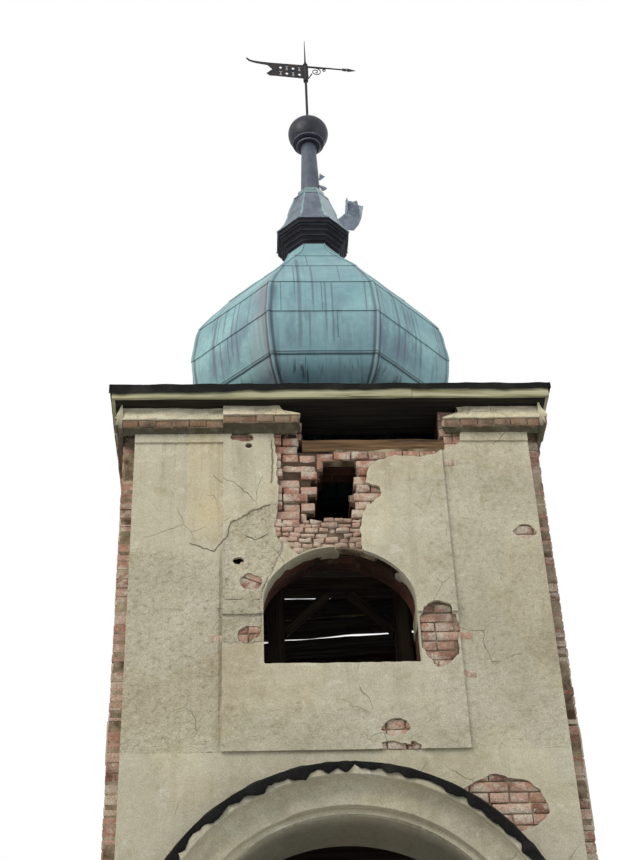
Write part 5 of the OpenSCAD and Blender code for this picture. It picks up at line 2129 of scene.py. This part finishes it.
@dataclass
class Floor:
    """Boards of the bell floor, laid across the joists."""

    low: float = 5.74
    thick: float = 0.03
    reach_x: float = 1.295
    reach_y: float = 1.195
    board: float = 0.156

    def build(self) -> None:
        """Lay the boards one by one with a narrow gap."""
        rng = np.random.default_rng(4)
        count = int(2 * self.reach_x / self.board)
        pitch = 2 * self.reach_x / count
        z = self.low + self.thick / 2
        boards = []
        for k in range(count):
            x = -self.reach_x + (k + 0.5) * pitch
            y0, y1 = -self.reach_y + 0.01 * rng.random(), self.reach_y - 0.01 * rng.random()
            wide, seed = pitch - 0.006, 20 + k
            boards.append(plank((x, y0, z), (x, y1, z), (1, 0, 0), wide, self.thick, seed, 0.001, 0.16))
        Shape.join(boards).piece("floor_planks", BARE_BOARD, "old_timber", ("floor_boards",), mend=True)


@dataclass
class Eaves:
    """Fascia boards and soffit boards under the edge of the roof."""

    soffit: float = 8.5
    soffit_t: float = 0.022
    board_h: float = 0.11
    board_t: float = 0.025

    def build(self) -> None:
        """Build both sets of boards."""
        self.build_fascia()
        self.build_soffit()

    def build_fascia(self) -> None:
        """Two boards on each side, butted at a joint that isn't in the middle."""
        z, ends = self.soffit + self.board_h / 2, []
        for s, split in ((-1, 0.62), (1, -0.35)):
            y = s * (EAVES_Y - self.board_t / 2)
            for a, b in ((-EAVES_X, split - 0.0015), (split + 0.0015, EAVES_X)):
                ends.append(((a, y, z), (b, y, z)))
        for s in (-1, 1):
            x, far = s * (EAVES_X - self.board_t / 2), EAVES_Y - self.board_t - 0.001
            ends.append(((x, -far, z), (x, far, z)))
        shapes = [
            plank(a, b, (0, 0, 1), self.board_h, self.board_t, 40 + k, 0.0014, 0.06, 0.003)
            for k, (a, b) in enumerate(ends)
        ]
        Shape.join(shapes).piece("fascia_planks", EAVES_BOARD, "eaves_board", ("fascia_boards",), mend=True)

    def build_soffit(self) -> None:
        """Four boards a side, level, with thin gaps; at the rear only their ends are left."""
        z = self.soffit + self.soffit_t / 2
        far_x, far_y = EAVES_X - self.board_t, EAVES_Y - self.board_t
        shapes, seed = [], 60
        for k in range(4):
            w = (far_y - 1.2) / 4
            y = far_y - (k + 0.5) * w
            runs = [(-y, -far_x, far_x), (y, -far_x, -0.9 - 0.03 * (k % 2)), (y, 0.9 + 0.02 * (k % 3), far_x)]
            for at, x0, x1 in runs:
                shapes.append(self.board((x0, at, z), (x1, at, z), (0, 1, 0), w, seed))
                seed += 1
            w = (far_x - 1.3) / 4
            x = far_x - (k + 0.5) * w
            for s in (-1, 1):
                shapes.append(self.board((s * x, -1.198, z), (s * x, 1.198, z), (1, 0, 0), w, seed))
                seed += 1
        # The soffit boards are near black: painted shade under the eaves.
        Shape.join(shapes).piece("soffit_planks", SHADE_DARK_BOARD, "old_timber", ("eaves_soffit",), mend=True)

    def board(self, start: Point, end: Point, up: Point, width: float, seed: int) -> Shape:
        """One soffit board."""
        return plank(start, end, up, width - 0.003, self.soffit_t - 0.001, seed, 0.0008, 0.12, 0.002)


@dataclass
class RoofSide:
    """Boards of one slope, and the felt over them if it is still there."""

    node: str
    slope: Slope
    seed: int
    board: float = 0.172
    gap: float = 0.004
    felted: bool = True
    thick: float = 0.018
    drip: float = 0.015

    def build(self) -> None:
        """Build the boards, and the felt where it is left."""
        if self.felted:
            # The boards under the felt are near black: painted shade.
            Shape.join(self.boards()).piece(self.node + "_boards", SHADE_DARK_BOARD, "old_timber", mend=True)
            self.felt().piece(self.node + "_sheet", FELT, "felt", (self.node,), smooth=50, mend=True)
        else:
            boards = Shape.join(self.boards() + self.closing())
            boards.piece(self.node + "_planks", REAR_BOARD, "old_timber", (self.node,), mend=True)

    def closing(self) -> list[Shape]:
        """Three tilted boards inside the fallen head of the rear wall, with gaps between them."""
        out = []
        for k in range(3):
            z, tilt = 7.9705 + 0.208 * k, 0.0757
            a, b = (-1.01, 1.1874, z - tilt), (1.01, 1.1874, z + tilt)
            out.append(plank(a, b, (0, 0, 1), 0.194, 0.008, self.seed + 40 + k, 0.0006, 0.06, 0.002))
        return out

    def boards(self) -> list[Shape]:
        """Level boards from the eaves up, their ends mitred along the hips."""
        s = self.slope
        slant = math.hypot(1.0, s.pitch)
        pitch = (self.board + self.gap) / slant
        start = s.far + (self.drip if not self.felted else -0.002)
        out = []
        for i in range(int((start - DECK_HALF) / pitch) + 1):
            d1 = start - i * pitch
            d0 = max(d1 - self.board / slant, DECK_HALF)
            if d1 - d0 < 0.03:
                continue
            mid = 0.5 * (d0 + d1)
            half = float(s.width(mid)) - 0.002
            lift = np.array(0.5 * self.thick + 0.001)
            a, b = s(np.array(-half), np.array(mid), lift), s(np.array(half), np.array(mid), lift)
            down = s(np.array(0.0), np.array(d1), lift) - s(np.array(0.0), np.array(d0), lift)
            spread = (s.other - DECK_HALF) / (s.far - DECK_HALF) / slant
            seed = self.seed + i
            out.append(plank(a, b, down, (d1 - d0) * slant, self.thick, seed, 0.0012, 0.1, 0.003, spread))
        return out

    def felt(self) -> Shape:
        """A wrinkled sheet down the slope, turned over the edge, with a ragged hem."""
        s = self.slope
        far = s.far + self.drip
        d = np.concatenate([np.linspace(DECK_HALF, far, 44), np.full(6, far)])
        fall = np.concatenate([np.zeros(44), np.linspace(0.15, 1.0, 6)])
        t = np.linspace(-1.0, 1.0, 170)
        dd, tt = np.meshgrid(d, t, indexing="ij")
        ff = np.repeat(fall[:, None], len(t), axis=1)
        along = tt * (s.width(dd) + 0.006)
        wave = flat_noise(along, dd, 0.28, self.seed)
        fine = flat_noise(along, dd + ff * 0.06, 0.06, self.seed + 1)
        worse = smooth_step(along, -0.55, -0.95) * (self.slope is SLOPE_FRONT)
        hem = 0.056 + 0.026 * worse + 0.009 * flat_noise(along, 0 * along, 0.09, self.seed + 2)
        tear = flat_noise(along, 0 * along, 0.27, self.seed + 3)
        hem = hem - 0.05 * np.clip(tear - 0.3, 0, 1) + 0.03 * np.clip(-tear - 0.3, 0, 1)
        lap = 0.003 * np.floor((far - dd) / 0.42)
        edge = smooth_step(dd, far - 0.12, far)
        wavy = 0.008 * flat_noise(along, 0 * along, 0.16, self.seed + 5)
        curl = edge * (wavy + 0.03 * np.clip(tear - 0.3, 0, 1))
        lift = 0.023 + 0.003 * wave + 0.0015 * fine + lap + curl - ff * hem
        out = np.where(ff > 0, 0.002 * fine + 0.003 * wave * ff, 0.0)
        top = s(along, dd + out, lift)
        thick = 0.004
        under = s(along, dd + out - thick * (ff > 0), lift - thick * (1.0 - np.minimum(ff * 4, 1.0)))
        return shell(top, under)


def eight_point(a: Array, t: Array, z: Array, sector: int) -> Array:
    """Point on one of eight faces.

    Args:
        a: half width across flats.
        t: share of the way from the middle of the face to its hip.
        z: height.
        sector: number of the face.

    Returns:
        x = a * tan(22.5 deg) * t and y = -a, turned to the sector.
    """
    turn = sector * math.pi / 4
    c, s = math.cos(turn), math.sin(turn)
    x, y = a * TAN_22 * t, -a
    return np.stack([x * c - y * s, x * s + y * c, z], -1)


@dataclass
class FootFelt:
    """Torn felt turned up round the foot of the dome."""

    deck: float = 9.148
    half: float = 0.86

    def build(self) -> None:
        """Carry a curling section round the eight sides and tear its upper edge."""
        cols, rows = 26, 12
        front, back = [], []
        ss, tt = np.meshgrid(np.linspace(0, 1, rows), np.linspace(-1, 1, cols, endpoint=False), indexing="ij")
        for sector in range(8):
            p = np.stack([tt * 0.36 + sector * 0.9, ss * 0.05, 0 * ss], -1)
            wide = fbm(p, 0.22, 80, 2)
            fine = fbm(p, 0.05, 81, 2)
            end = np.clip(1 - np.abs(tt) ** 6, 0, 1)
            height = 0.07 + end * (0.03 * wide + 0.014 * fine)
            curl = smooth_step(ss, 0.45, 1.0) * (0.02 + 0.045 * np.clip(wide + 0.2, 0, 1) * end)
            a = self.half + 0.014 + curl + 0.004 * fine * end
            z = self.deck + 0.006 + ss * height
            for target, inset in ((front, 0.0), (back, 0.005)):
                target.append(eight_point(a - inset, tt, z - 0.3 * inset, sector))
        made = shell(np.concatenate(front, 1), np.concatenate(back, 1), round_cols=True)
        made.piece("foot_felt", FELT, "felt", smooth=50, mend=True)


@dataclass
class EightSided:
    """Eight equal faces under one section, welded round, with its own relief.

    Its points are those of eight_point, with the relief added to the half width.
    """

    section: Array
    columns: Array
    relief: Mapper

    def grid(self) -> tuple[Array, dict[str, Array]]:
        """Points and the values that the finishes read.

        Returns:
            Points of shape (rows, columns * 8, 3), and the values "sheet" (metres across, height,
            sector) and "hip" (0 in the middle of a face, 1 on its hip).
        """
        points, sheet = [], []
        a, t = np.meshgrid(self.section[:, 0], self.columns, indexing="ij")
        z = np.repeat(self.section[:, 1:2], len(self.columns), axis=1)
        for sector in range(8):
            raised = a + self.relief(eight_point(a, t, z, sector), t, z)
            points.append(eight_point(raised, t, z, sector))
            sheet.append(np.stack([a * TAN_22 * t, z, np.full_like(z, sector)], -1))
        values = {"sheet": np.concatenate(sheet, 1), "hip": np.tile(np.abs(t), (1, 8))}
        return np.concatenate(points, 1), values

    def closed(self, thick: float, marks: Callable[[Array], dict[str, Array]] | None = None) -> Shape:
        """Close the sheet with an inner skin drawn towards the axis.

        Args:
            thick: how far the skin is drawn in.
            marks: further values, from the points of the sheet.

        Returns:
            The closed shape.
        """
        outer, values = self.grid()
        scale = 1.0 - thick / np.hypot(outer[..., 0], outer[..., 1])
        inner = outer * np.stack([scale, scale, np.ones_like(scale)], -1)
        return shell(outer, inner, values | (marks(outer) if marks else {}), round_cols=True)


def hip_columns(inner: int) -> Array:
    """Shares across a face, close together beside the hips; the last hip belongs to the next face."""
    return np.concatenate([[-1.0, -0.975, -0.95], np.linspace(-0.89, 0.89, inner), [0.95, 0.975]])


@dataclass
class Dome:
    """Onion dome in eight faces of copper sheet on boards."""

    foot: float = 0.86
    belly: float = 1.126
    neck: float = 0.235
    low: float = 9.22
    height: float = 2.365
    laps: tuple[float, ...] = (9.47, 9.895, 10.29, 10.74, 11.19)
    rolls: tuple[float, ...] = (9.502, 9.484)
    grooves: tuple[float, ...] = (9.493, 9.473)
    line: Pairs = (
        (0, 0), (0.060, 0.53), (0.120, 0.76), (0.205, 0.93), (0.283, 1), (0.350, 0.985), (0.438, 0.95),
        (0.520, 0.84), (0.591, 0.722), (0.657, 0.61), (0.767, 0.40), (0.873, 0.182), (0.945, 0.055), (1, 0),
    )

    def outline(self) -> Array:
        """Half width against height through the same knots as the frame, at close even heights."""
        knots = []
        for k, (h, w) in enumerate(self.line):
            base = self.foot if k < 5 else self.neck
            knots.append((base + (self.belly - base) * w, self.low + self.height * h))
        curve = rise_curve(np.array(knots), 12)
        close = self.laps[1:] + self.rolls + self.grooves + (9.511,)
        z = ruled(self.low, self.low + self.height, 0.0145, close)
        return np.stack([np.interp(z, curve[:, 1], curve[:, 0]), z], -1)

    def lap(self, z: Array) -> Array:
        """How far a sheet stands out: most at its lower edge, nothing at its head.

        Args:
            z: height.

        Returns:
            Metres out of the face.
        """
        edges = np.array([self.low - 0.01, *self.laps, self.low + self.height])
        k = np.clip(np.searchsorted(edges, z, side="right") - 1, 0, len(edges) - 2)
        share = (z - edges[k]) / (edges[k + 1] - edges[k])
        return 0.006 * (1.0 - share) ** 2

    def relief(self, where: Array, t: Array, z: Array) -> Array:
        """Laps of the sheets, the doubled roll at the belly seam, raised hips and dents.

        Args:
            where: points of the plain faces.
            t: share of the way to the hip.
            z: height.

        Returns:
            Metres added to the half width.
        """
        n = self.lap(z)
        for centre in self.rolls:
            n = n + 0.006 * np.sqrt(np.clip(1.0 - ((z - centre) / 0.0092) ** 2, 0.0, 1.0))
        edge = np.abs(t)
        n = n + 0.007 * smooth_step(edge, 0.955, 0.985)
        calm = 1.0 - edge**4
        dents = fbm(where, 0.32, 90, 2) * 0.006 + fbm(where, 0.09, 92, 2) * 0.0022
        return n + dents * (0.35 + 0.65 * calm)

    def seams(self, points: Array) -> dict[str, Array]:
        """1 in the grooves beside the rolls and just under each lap, fading in a few millimetres.

        Args:
            points: points of the sheet.

        Returns:
            The value "seam".
        """
        z = points[..., 2]
        dark = [np.exp(-(((z - s) / 0.0045) ** 2)) for s in self.grooves]
        dark += [np.where(z < s, np.exp((z - s) / 0.006), 0.0) for s in self.laps[1:]]
        return {"seam": np.maximum.reduce(dark)}

    def build(self) -> None:
        """Build the sheet as a closed shell over its boards."""
        made = EightSided(self.outline(), hip_columns(15), self.relief).closed(0.03, self.seams)
        made.piece("dome_copper", COPPER, "copper_patina", ("dome_shell",), smooth=38, mend=True)


class Side(Enum):
    """Edges of the torn flap."""

    FOOT = 0
    HEAD = 1
    LEFT = 2
    RIGHT = 3


FLAP = {
    Side.FOOT: ((0.0, 0.252, 0.211), (0.45, 0.315, 0.055), (0.6, 0.354, 0.062), (1.0, 0.400, 0.055)),
    Side.HEAD: (
        (0.0, 0.341, 0.452), (0.3, 0.395, 0.462), (0.62, 0.452, 0.478), (0.74, 0.470, 0.418),
        (0.86, 0.500, 0.432), (1.0, 0.517, 0.445),
    ),
    Side.LEFT: ((0.0, 0.252, 0.211), (0.35, 0.324, 0.281), (0.8, 0.335, 0.410), (1.0, 0.341, 0.452)),
    Side.RIGHT: ((0.0, 0.400, 0.055), (0.25, 0.455, 0.145), (0.5, 0.487, 0.255), (1.0, 0.517, 0.445)),
}


@dataclass
class Spirelet:
    """Copper skirt with hip rolls, its torn flap, the column and the ball."""

    skirt_z: float = 11.835
    skirt_h: float = 0.53
    eave: float = 0.343
    flap: dict[Side, tuple] = field(default_factory=lambda: FLAP)

    def build(self) -> None:
        """Build the skirt, the flap, the column and the ball."""
        self.build_skirt()
        self.build_flap()
        self.build_column()
        self.build_ball()

    def build_skirt(self) -> None:
        """Concave faces with a rolled hip, closed as a thin shell."""
        knots = ((self.eave, 0.0), (0.286, 0.2), (0.243, 0.44), (0.217, 0.66), (0.168, 1.0))
        curve = rise_curve(np.array(knots) * [1.0, self.skirt_h], 12)
        z = np.linspace(0.0, self.skirt_h, 44)
        line = np.stack([np.interp(z, curve[:, 1], curve[:, 0]), self.skirt_z + z], -1)

        def relief(where: Array, t: Array, z: Array) -> Array:
            """Rolled hips, a lap at mid height and dents.

            Args:
                where: points of the plain faces.
                t: share of the way to the hip.
                z: height.

            Returns:
                Metres added to the half width.
            """
            roll = 0.007 * smooth_step(np.abs(t), 0.9, 0.96)
            lap = 0.004 * np.clip(1.0 - (z - self.skirt_z - 0.26) / 0.2, 0, 1) * (z > self.skirt_z + 0.26)
            hem = 0.005 * (z < self.skirt_z + 0.03)
            return roll + lap + hem + 0.004 * fbm(where, 0.12, 95, 2)

        columns = np.concatenate([[-1.0, -0.96, -0.9], np.linspace(-0.8, 0.8, 7), [0.9, 0.96]])
        EightSided(line, columns, relief).closed(0.02).piece(
            "skirt_copper", GREY, "dark_copper", ("spire_skirt",), smooth=38, mend=True
        )

    def build_flap(self) -> None:
        """The torn sheet on the right and two scraps at the foot of the column.

        The sheet is a patch between four edges: P(s, w) blends the foot and the head of the sheet,
        then its two sides, and takes away the corners that are counted twice.
        """
        s, w = np.meshgrid(np.linspace(0, 1, 34), np.linspace(0, 1, 30), indexing="ij")

        def edge(share: Array, knots: tuple[tuple[float, float, float], ...]) -> Array:
            """Point of an edge given by a few rows of place, across and up."""
            place, across, up = np.array(knots).T
            return np.stack([np.interp(share, place, across), np.interp(share, place, up)], -1)

        foot, head, left, right = (edge(share, self.flap[side]) for share, side in zip((w, w, s, s), Side))
        s1, w1 = s[..., None], w[..., None]
        low, high = ((1 - w1) * left[k, 0] + w1 * right[k, 0] for k in (0, -1))
        corner = (1 - s1) * low + s1 * high
        flat = (1 - s1) * foot + s1 * head + (1 - w1) * left + w1 * right - corner
        p = np.stack([flat[..., 0], 0.3 * s, flat[..., 1]], -1)
        crumple = fbm(p, 0.09, 97, 3)
        x = flat[..., 0] + 0.006 * s * fbm(p, 0.04, 98, 2)
        z = self.skirt_z + flat[..., 1] + 0.006 * s * fbm(p, 0.05, 99, 2)
        y = -0.108 + 0.03 * s * crumple + 0.035 * s * smooth_step(w, 0.72, 1.0)
        y = y - 0.05 * smooth_step(w, 0.15, 0.0) * s
        sheet = shell(np.stack([x, y - 0.0015, z], -1), np.stack([x, y + 0.0015, z], -1))
        scraps = [
            self.scrap((0.090, -0.06, 12.655), (0.130, -0.06, 12.722), 0.030, 0.9, 104),
            self.scrap((0.085, -0.05, 12.600), (0.140, -0.05, 12.520), 0.026, -0.7, 105),
        ]
        Shape.join([sheet, *scraps]).piece(
            "flap_sheet", GREY, "dark_copper", ("torn_flap",), smooth=50, mend=True
        )

    def scrap(self, a: Point, b: Point, width: float, curl: float, seed: int) -> Shape:
        """A small strip of torn sheet that runs from a to b and curls about its length.

        Args:
            a: foot of the strip.
            b: its tip.
            width: half its width.
            curl: angle of the curl in radians.
            seed: picks its wear.

        Returns:
            The closed shape.
        """
        s, w = np.meshgrid(np.linspace(0, 1, 12), np.linspace(-1, 1, 9), indexing="ij")
        start, end = np.array(a), np.array(b)
        along = (end - start) / np.linalg.norm(end - start)
        side = np.cross(along, [0.0, 1.0, 0.0])
        noise = fbm(np.stack([s * 0.1, w * 0.05, 0 * s], -1), 0.04, seed, 2)
        turn = curl * w * (0.4 + s)
        wide = width * (0.6 + 0.5 * s + 0.3 * noise)
        mid = start + (end - start) * s[..., None]
        points = mid + side * (wide * np.sin(turn) / abs(curl) * np.sign(curl))[..., None]
        points = points + np.array([0.0, -1.0, 0.0]) * (wide * (1 - np.cos(turn)) + 0.01 * noise)[..., None]
        return shell(points, points + np.array([0.0, 0.003, 0.0]))

    def turned(self, line: Array, columns: int, dent: float, seed: int) -> Shape:
        """Surface of revolution of a section from axis to axis, lightly dented.

        Args:
            line: rows of radius and height, and of the share of edge colour, a painted highlight.
            columns: points round it.
            dent: depth of the dents.
            seed: picks them.

        Returns:
            The closed shape.
        """
        a = np.linspace(0, 2 * math.pi, columns, endpoint=False)
        r = np.repeat(line[:, :1], columns, axis=1)
        z = np.repeat(line[:, 1:2], columns, axis=1)
        turn = np.repeat(a[None], len(line), axis=0)
        p = np.stack([r * np.cos(turn), r * np.sin(turn), z], -1)
        r = r + dent * fbm(p, 0.11, seed, 2) * np.clip(r / 0.02, 0, 1)
        # The third column sets the share of edge colour; on the ball it is painted highlight on the collar
        # lips.
        rubbed = np.repeat(line[:, 2:3], columns, axis=1) if line.shape[1] > 2 else 0.0 * z
        return tube(np.stack([r * np.cos(turn), r * np.sin(turn), z], -1), {"hip": rubbed})

    def build_column(self) -> None:
        """Tapering column with its base fillet, a lock seam ring at mid height and a cap."""
        z0, h = 12.4851, 0.7249
        body = [[0.098 - 0.022 * s, z0 + 0.026 + (h - 0.086) * s] for s in np.linspace(0, 1, 30)]
        line = [[0.001, z0], [0.112, z0], [0.112, z0 + 0.012], *body]
        head = ((0.082, 0.054), (0.082, 0.04), (0.077, 0.032), (0.077, 0.0), (0.001, 0.0))
        line += [[r, z0 + h - d] for r, d in head]
        self.turned(np.array(line), 40, 0.0018, 101).piece(
            "column_copper", SLATE, "dark_copper", ("spire_column",), smooth=35, mend=True
        )

    def build_ball(self) -> None:
        """Ball on two collars, with a raised seam round its middle and painted highlight on the collar lips.
        """
        centre, r = 13.417, 0.207
        a = np.linspace(-0.785, math.pi / 2 - 0.21, 40)
        up = np.where(a > 0, 0.182, r) * np.sin(a)
        arc = np.stack([r * np.cos(a), centre + up, 0 * a], -1)
        # Rows of radius, height and share of painted highlight on the collar lips.
        low = (
            (0.001, -r, 0), (0.118, -r, 0), (0.125, -0.198, 1), (0.124, -0.186, 0.9), (0.112, -0.172, 0),
            (0.112, -0.168, 0), (0.156, -0.164, 0.7), (0.163, -0.156, 1), (0.161, -0.148, 0.9),
            (0.150, -0.1465, 0),
        )
        top = ((0.040, r - 0.012, 0), (0.048, r - 0.008, 0), (0.048, r + 0.008, 0), (0.001, r + 0.008, 0))
        below, above = ([(x, centre + z, e) for x, z, e in part] for part in (low, top))
        line = below + [tuple(q) for q in arc] + above
        self.turned(np.array(line), 64, 0.0022, 103).piece(
            "ball_copper", DARK_GREY, "dark_copper", ("ball",), smooth=45, mend=True
        )


KEPT: dict[str, Finish] = {
    "floor_joists": OAK_X,
    "roof_trimmer": OAK_Y,
    "roof_rafters": OAK_Y,
    "roof_deck": FELT,
    "dome_curb": OAK_X,
    "lantern_cornice": BLACK,
    "neck_collar": GREENISH,
    "rod": IRON,
    "vane_hub": IRON,
    "vane_flag": IRON,
    "vane_arrow": IRON,
    "vane_scroll": IRON,
}


def dress_kept() -> None:
    """Give the frame's own nodes their finishes."""
    for name, finish in KEPT.items():
        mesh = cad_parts[name].data
        material = STORE.get(finish)
        if mesh.materials:
            for k in range(len(mesh.materials)):
                mesh.materials[k] = material
        else:
            mesh.materials.append(material)
        log.info("%s: kept", name)


@dataclass
class Setting:
    """Pale floor, soft studio light, white surroundings and the camera of the photograph."""

    eye: tuple[float, float, float] = (-0.64, -11.12, 0.70)
    yaw: float = 3.16
    pitch: float = 38.31
    roll: float = -2.32
    lens: float = 66.98

    def build(self) -> None:
        """Build everything round the tower."""
        self.build_floor()
        self.build_world()
        self.build_lights()
        self.build_camera()

    def build_floor(self) -> None:
        """A large round floor, pale and plain."""
        a = np.linspace(0, 2 * math.pi, 72, endpoint=False)
        verts = np.stack([60 * np.cos(a), 60 * np.sin(a), np.full_like(a, -0.001)], -1)
        mesh = bpy.data.meshes.new("studio_floor")
        mesh.from_pydata(verts.tolist(), [], [list(range(72))])
        board = Board("studio_floor")
        cloud = board.noise(board.here(), 0.4, 2.0)
        board.colour = board.mix(cloud, tone(196, 196, 194), tone(206, 206, 204))
        mesh.materials.append(board.surface(0.9, board.bump(cloud, 0.001)))
        floor = bpy.data.objects.new("studio_floor", mesh)
        bpy.context.scene.collection.objects.link(floor)
        floor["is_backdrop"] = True

    def build_world(self) -> None:
        """White to the camera and to mirrors, a soft grey dome of light for the rest."""
        board = Board("studio", world=True)
        path = board.add("ShaderNodeLightPath")
        kinds = ("Is Camera Ray", "Is Glossy Ray", "Is Transmission Ray")
        camera, mirror, clear = (Value(board, path.outputs[key]) for key in kinds)
        light = board.add("ShaderNodeBackground", None, {0: (0.86, 0.93, 1.0, 1.0), 1: 0.75})
        plain = board.add("ShaderNodeBackground", None, {0: (1.0, 1.0, 1.0, 1.0), 1: 1.0})
        seen = board.maths("MAXIMUM", board.maths("MAXIMUM", camera, mirror), clear)
        mix = board.add("ShaderNodeMixShader", None, {0: seen, 1: light.outputs[0], 2: plain.outputs[0]})
        board.add("ShaderNodeOutputWorld", None, {"Surface": mix.outputs[0]})
        bpy.context.scene.world = board.owner
        bpy.context.scene.view_settings.view_transform = "Standard"

    def build_lights(self) -> None:
        """A wide key from the upper left front and a weaker fill from the right."""
        for name, place, size, power, colour in (
            ("key", (-9.0, -10.0, 16.0), 9.0, 1500.0, (1.0, 0.96, 0.9)),
            ("fill", (11.0, -7.0, 9.0), 9.0, 420.0, (0.9, 0.95, 1.0)),
            ("rim", (6.0, 12.0, 15.0), 8.0, 500.0, (1.0, 1.0, 1.0)),
        ):
            data = bpy.data.lights.new(name, "AREA")
            data.shape, data.size, data.energy, data.color = "DISK", size, power, colour
            lamp = bpy.data.objects.new(name, data)
            bpy.context.scene.collection.objects.link(lamp)
            aim = np.array([0.0, 0.0, 9.5]) - np.array(place)
            lamp.location = place
            flat = math.hypot(aim[0], aim[1])
            tilt, turn = math.atan2(-aim[2], flat), math.atan2(aim[1], aim[0])
            lamp.rotation_euler = (math.pi / 2 - tilt, 0.0, turn - math.pi / 2)

    def build_camera(self) -> None:
        """Place the camera by eye point, yaw to the right, pitch up and roll."""
        yaw, pitch, roll = (math.radians(x) for x in (self.yaw, self.pitch, self.roll))
        level = math.cos(pitch)
        d = mathutils.Vector((math.sin(yaw) * level, math.cos(yaw) * level, math.sin(pitch)))
        r = mathutils.Vector((math.cos(yaw), -math.sin(yaw), 0.0))
        u = r.cross(d)
        right = math.cos(roll) * r + math.sin(roll) * u
        up = -math.sin(roll) * r + math.cos(roll) * u
        turn = mathutils.Matrix((right, up, -d)).transposed()
        data = bpy.data.cameras.new("camera")
        data.lens, data.sensor_width, data.sensor_fit = self.lens, 36.0, "AUTO"
        data.clip_end = 200.0
        camera = bpy.data.objects.new("camera", data)
        camera.matrix_world = mathutils.Matrix.Translation(self.eye) @ turn.to_4x4()
        bpy.context.scene.collection.objects.link(camera)
        bpy.context.scene.camera = camera


def note_size(when: str, sizes: dict[str, list[list[float]]]) -> None:
    """Store the box of the shown object in sizes, before and after dressing.

    Args:
        when: "frame" or "scene".
        sizes: the boxes so far; this one is added.
    """
    low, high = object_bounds()
    sizes[when] = [[float(x) for x in low], [float(x) for x in high]]


HOLE = (
    (-0.215, 0.120), (-0.150, 0.150), (-0.205, 0.115), (-0.130, 0.165), (-0.180, 0.150), (-0.115, 0.180),
    (-0.080, 0.175),
)
FRONT_CUTS = tuple((u0, u1, 7.488 + COURSE * k, 7.565 + COURSE * k) for k, (u0, u1) in enumerate(HOLE)) + (
    (-0.27, 0.86, 8.13, 8.207), (-0.23, 0.86, 8.207, 8.284), (-0.23, 0.83, 8.284, 8.423),
    (-0.29, 0.83, 8.423, 8.6),
)
REAR_CUTS = ((-0.835, 0.77, 8.0, 8.154), (-0.9, 0.77, 8.154, 8.231), (-0.9, 0.9, 8.231, 8.6))


def build_walls() -> None:
    """Both storeys on all four sides."""
    losses = (
        Loss(-0.62, 6.92, 0.08, 0.07), Loss(-0.64, 6.50, 0.09, 0.06), Loss(0.68, 6.50, 0.15, 0.27),
        Loss(0.33, 5.76, 0.10, 0.06), Loss(0.37, 5.60, 0.15, 0.05), Loss(1.387, 7.363, 0.08, 0.06),
        Loss(-0.68, 8.235, 0.10, 0.045), Loss(-0.9, 5.55, 0.05, 0.05),
    )
    FrontBell(
        "bell_front_wall", FRONT, HALF, BASE_TOP, WALL_TOP, WINDOW, 1, grid=0.014, losses=losses,
        stands_for=("impost_bands", "frieze_band"), finish=FRONT_PLASTER, marks=("grit", "warm"),
        cuts=FRONT_CUTS, datum=7.488,
    ).build()
    rear_losses = (
        Loss(0.9, 7.9, 0.3, 0.25), Loss(-0.5, 6.1, 0.25, 0.3), Loss(-1.2, 7.4, 0.16, 0.3),
        Loss(0.0, 7.95, 0.85, 0.10),
    )
    BellWall(
        "bell_rear_wall", REAR, HALF, BASE_TOP, WALL_TOP, WINDOW, 2,
        losses=rear_losses, cuts=REAR_CUTS, datum=8.0,
    ).build()
    gate_losses = (
        Loss(-1.3, 0.4, 0.3, 0.5), Loss(1.28, 0.7, 0.3, 0.9), Loss(-1.25, 2.6, 0.18, 0.35),
        Loss(1.0, 5.2, 0.28, 0.2),
    )
    for node, wall, seed in (("base_front_wall", FRONT, 3), ("base_rear_wall", REAR, 4)):
        Masonry(node, wall, HALF, 0.0, BASE_TOP, GATE, seed, grid=0.03, losses=gate_losses).build()
    closed = Opening(0.0, 50.0, 51.0, 0.0, 0.0, 0.3)
    storeys = (("base", 0.0, BASE_TOP, closed, 0), ("bell", BASE_TOP, WALL_TOP, WINDOW, 10))
    for name, wall, seed in (("right", RIGHT, 5), ("left", LEFT, 6)):
        for storey, low, high, hole, shift in storeys:
            SideWall(
                f"{storey}_{name}_wall", wall, HALF - NOTCH, low, high, hole, seed + shift,
                draw_in=0.095, face=-0.002,
            ).build()


def main() -> None:
    """Build every sub-assembly in order, then the setting."""
    logging.basicConfig(level=logging.INFO, format="%(name)s: %(message)s")
    sizes: dict[str, list[list[float]]] = {}
    note_size("frame", sizes)
    build_walls()
    level = ((-1.59, 1.59, 0.06, 0.03, 0),)
    left = ((-SIDE, -0.83, 0.09, 0.014, 0), (-0.83, -0.23, 0.12, 0.036, 1))
    for part in (
        Cornice("cornice_front_left", FRONT, left, 31),
        Cornice("cornice_front_right", FRONT, ((0.83, SIDE, 0.09, 0.014, -1),), 32),
        Cornice("cornice_rear", REAR, ((-SIDE, -0.9, 0.09, 0.02, 1), (0.9, SIDE, 0.09, 0.02, -1)), 33),
        Cornice("cornice_right", RIGHT, level, 34),
        Cornice("cornice_left", LEFT, level, 35),
        Hood(),
        Timbers(),
        Floor(),
        Eaves(),
        RoofSide("roof_felt_front", SLOPE_FRONT, 200),
        RoofSide("roof_felt_right", SLOPE_RIGHT, 220),
        RoofSide("roof_felt_left", SLOPE_LEFT, 240),
        RoofSide("roof_boards_rear", SLOPE_REAR, 260, gap=0.02, felted=False, thick=0.012),
        FootFelt(),
        Dome(),
        Spirelet(),
    ):
        part.build()
    dress_kept()
    Setting().build()
    note_size("scene", sizes)


if __name__ == "__main__":
    main()
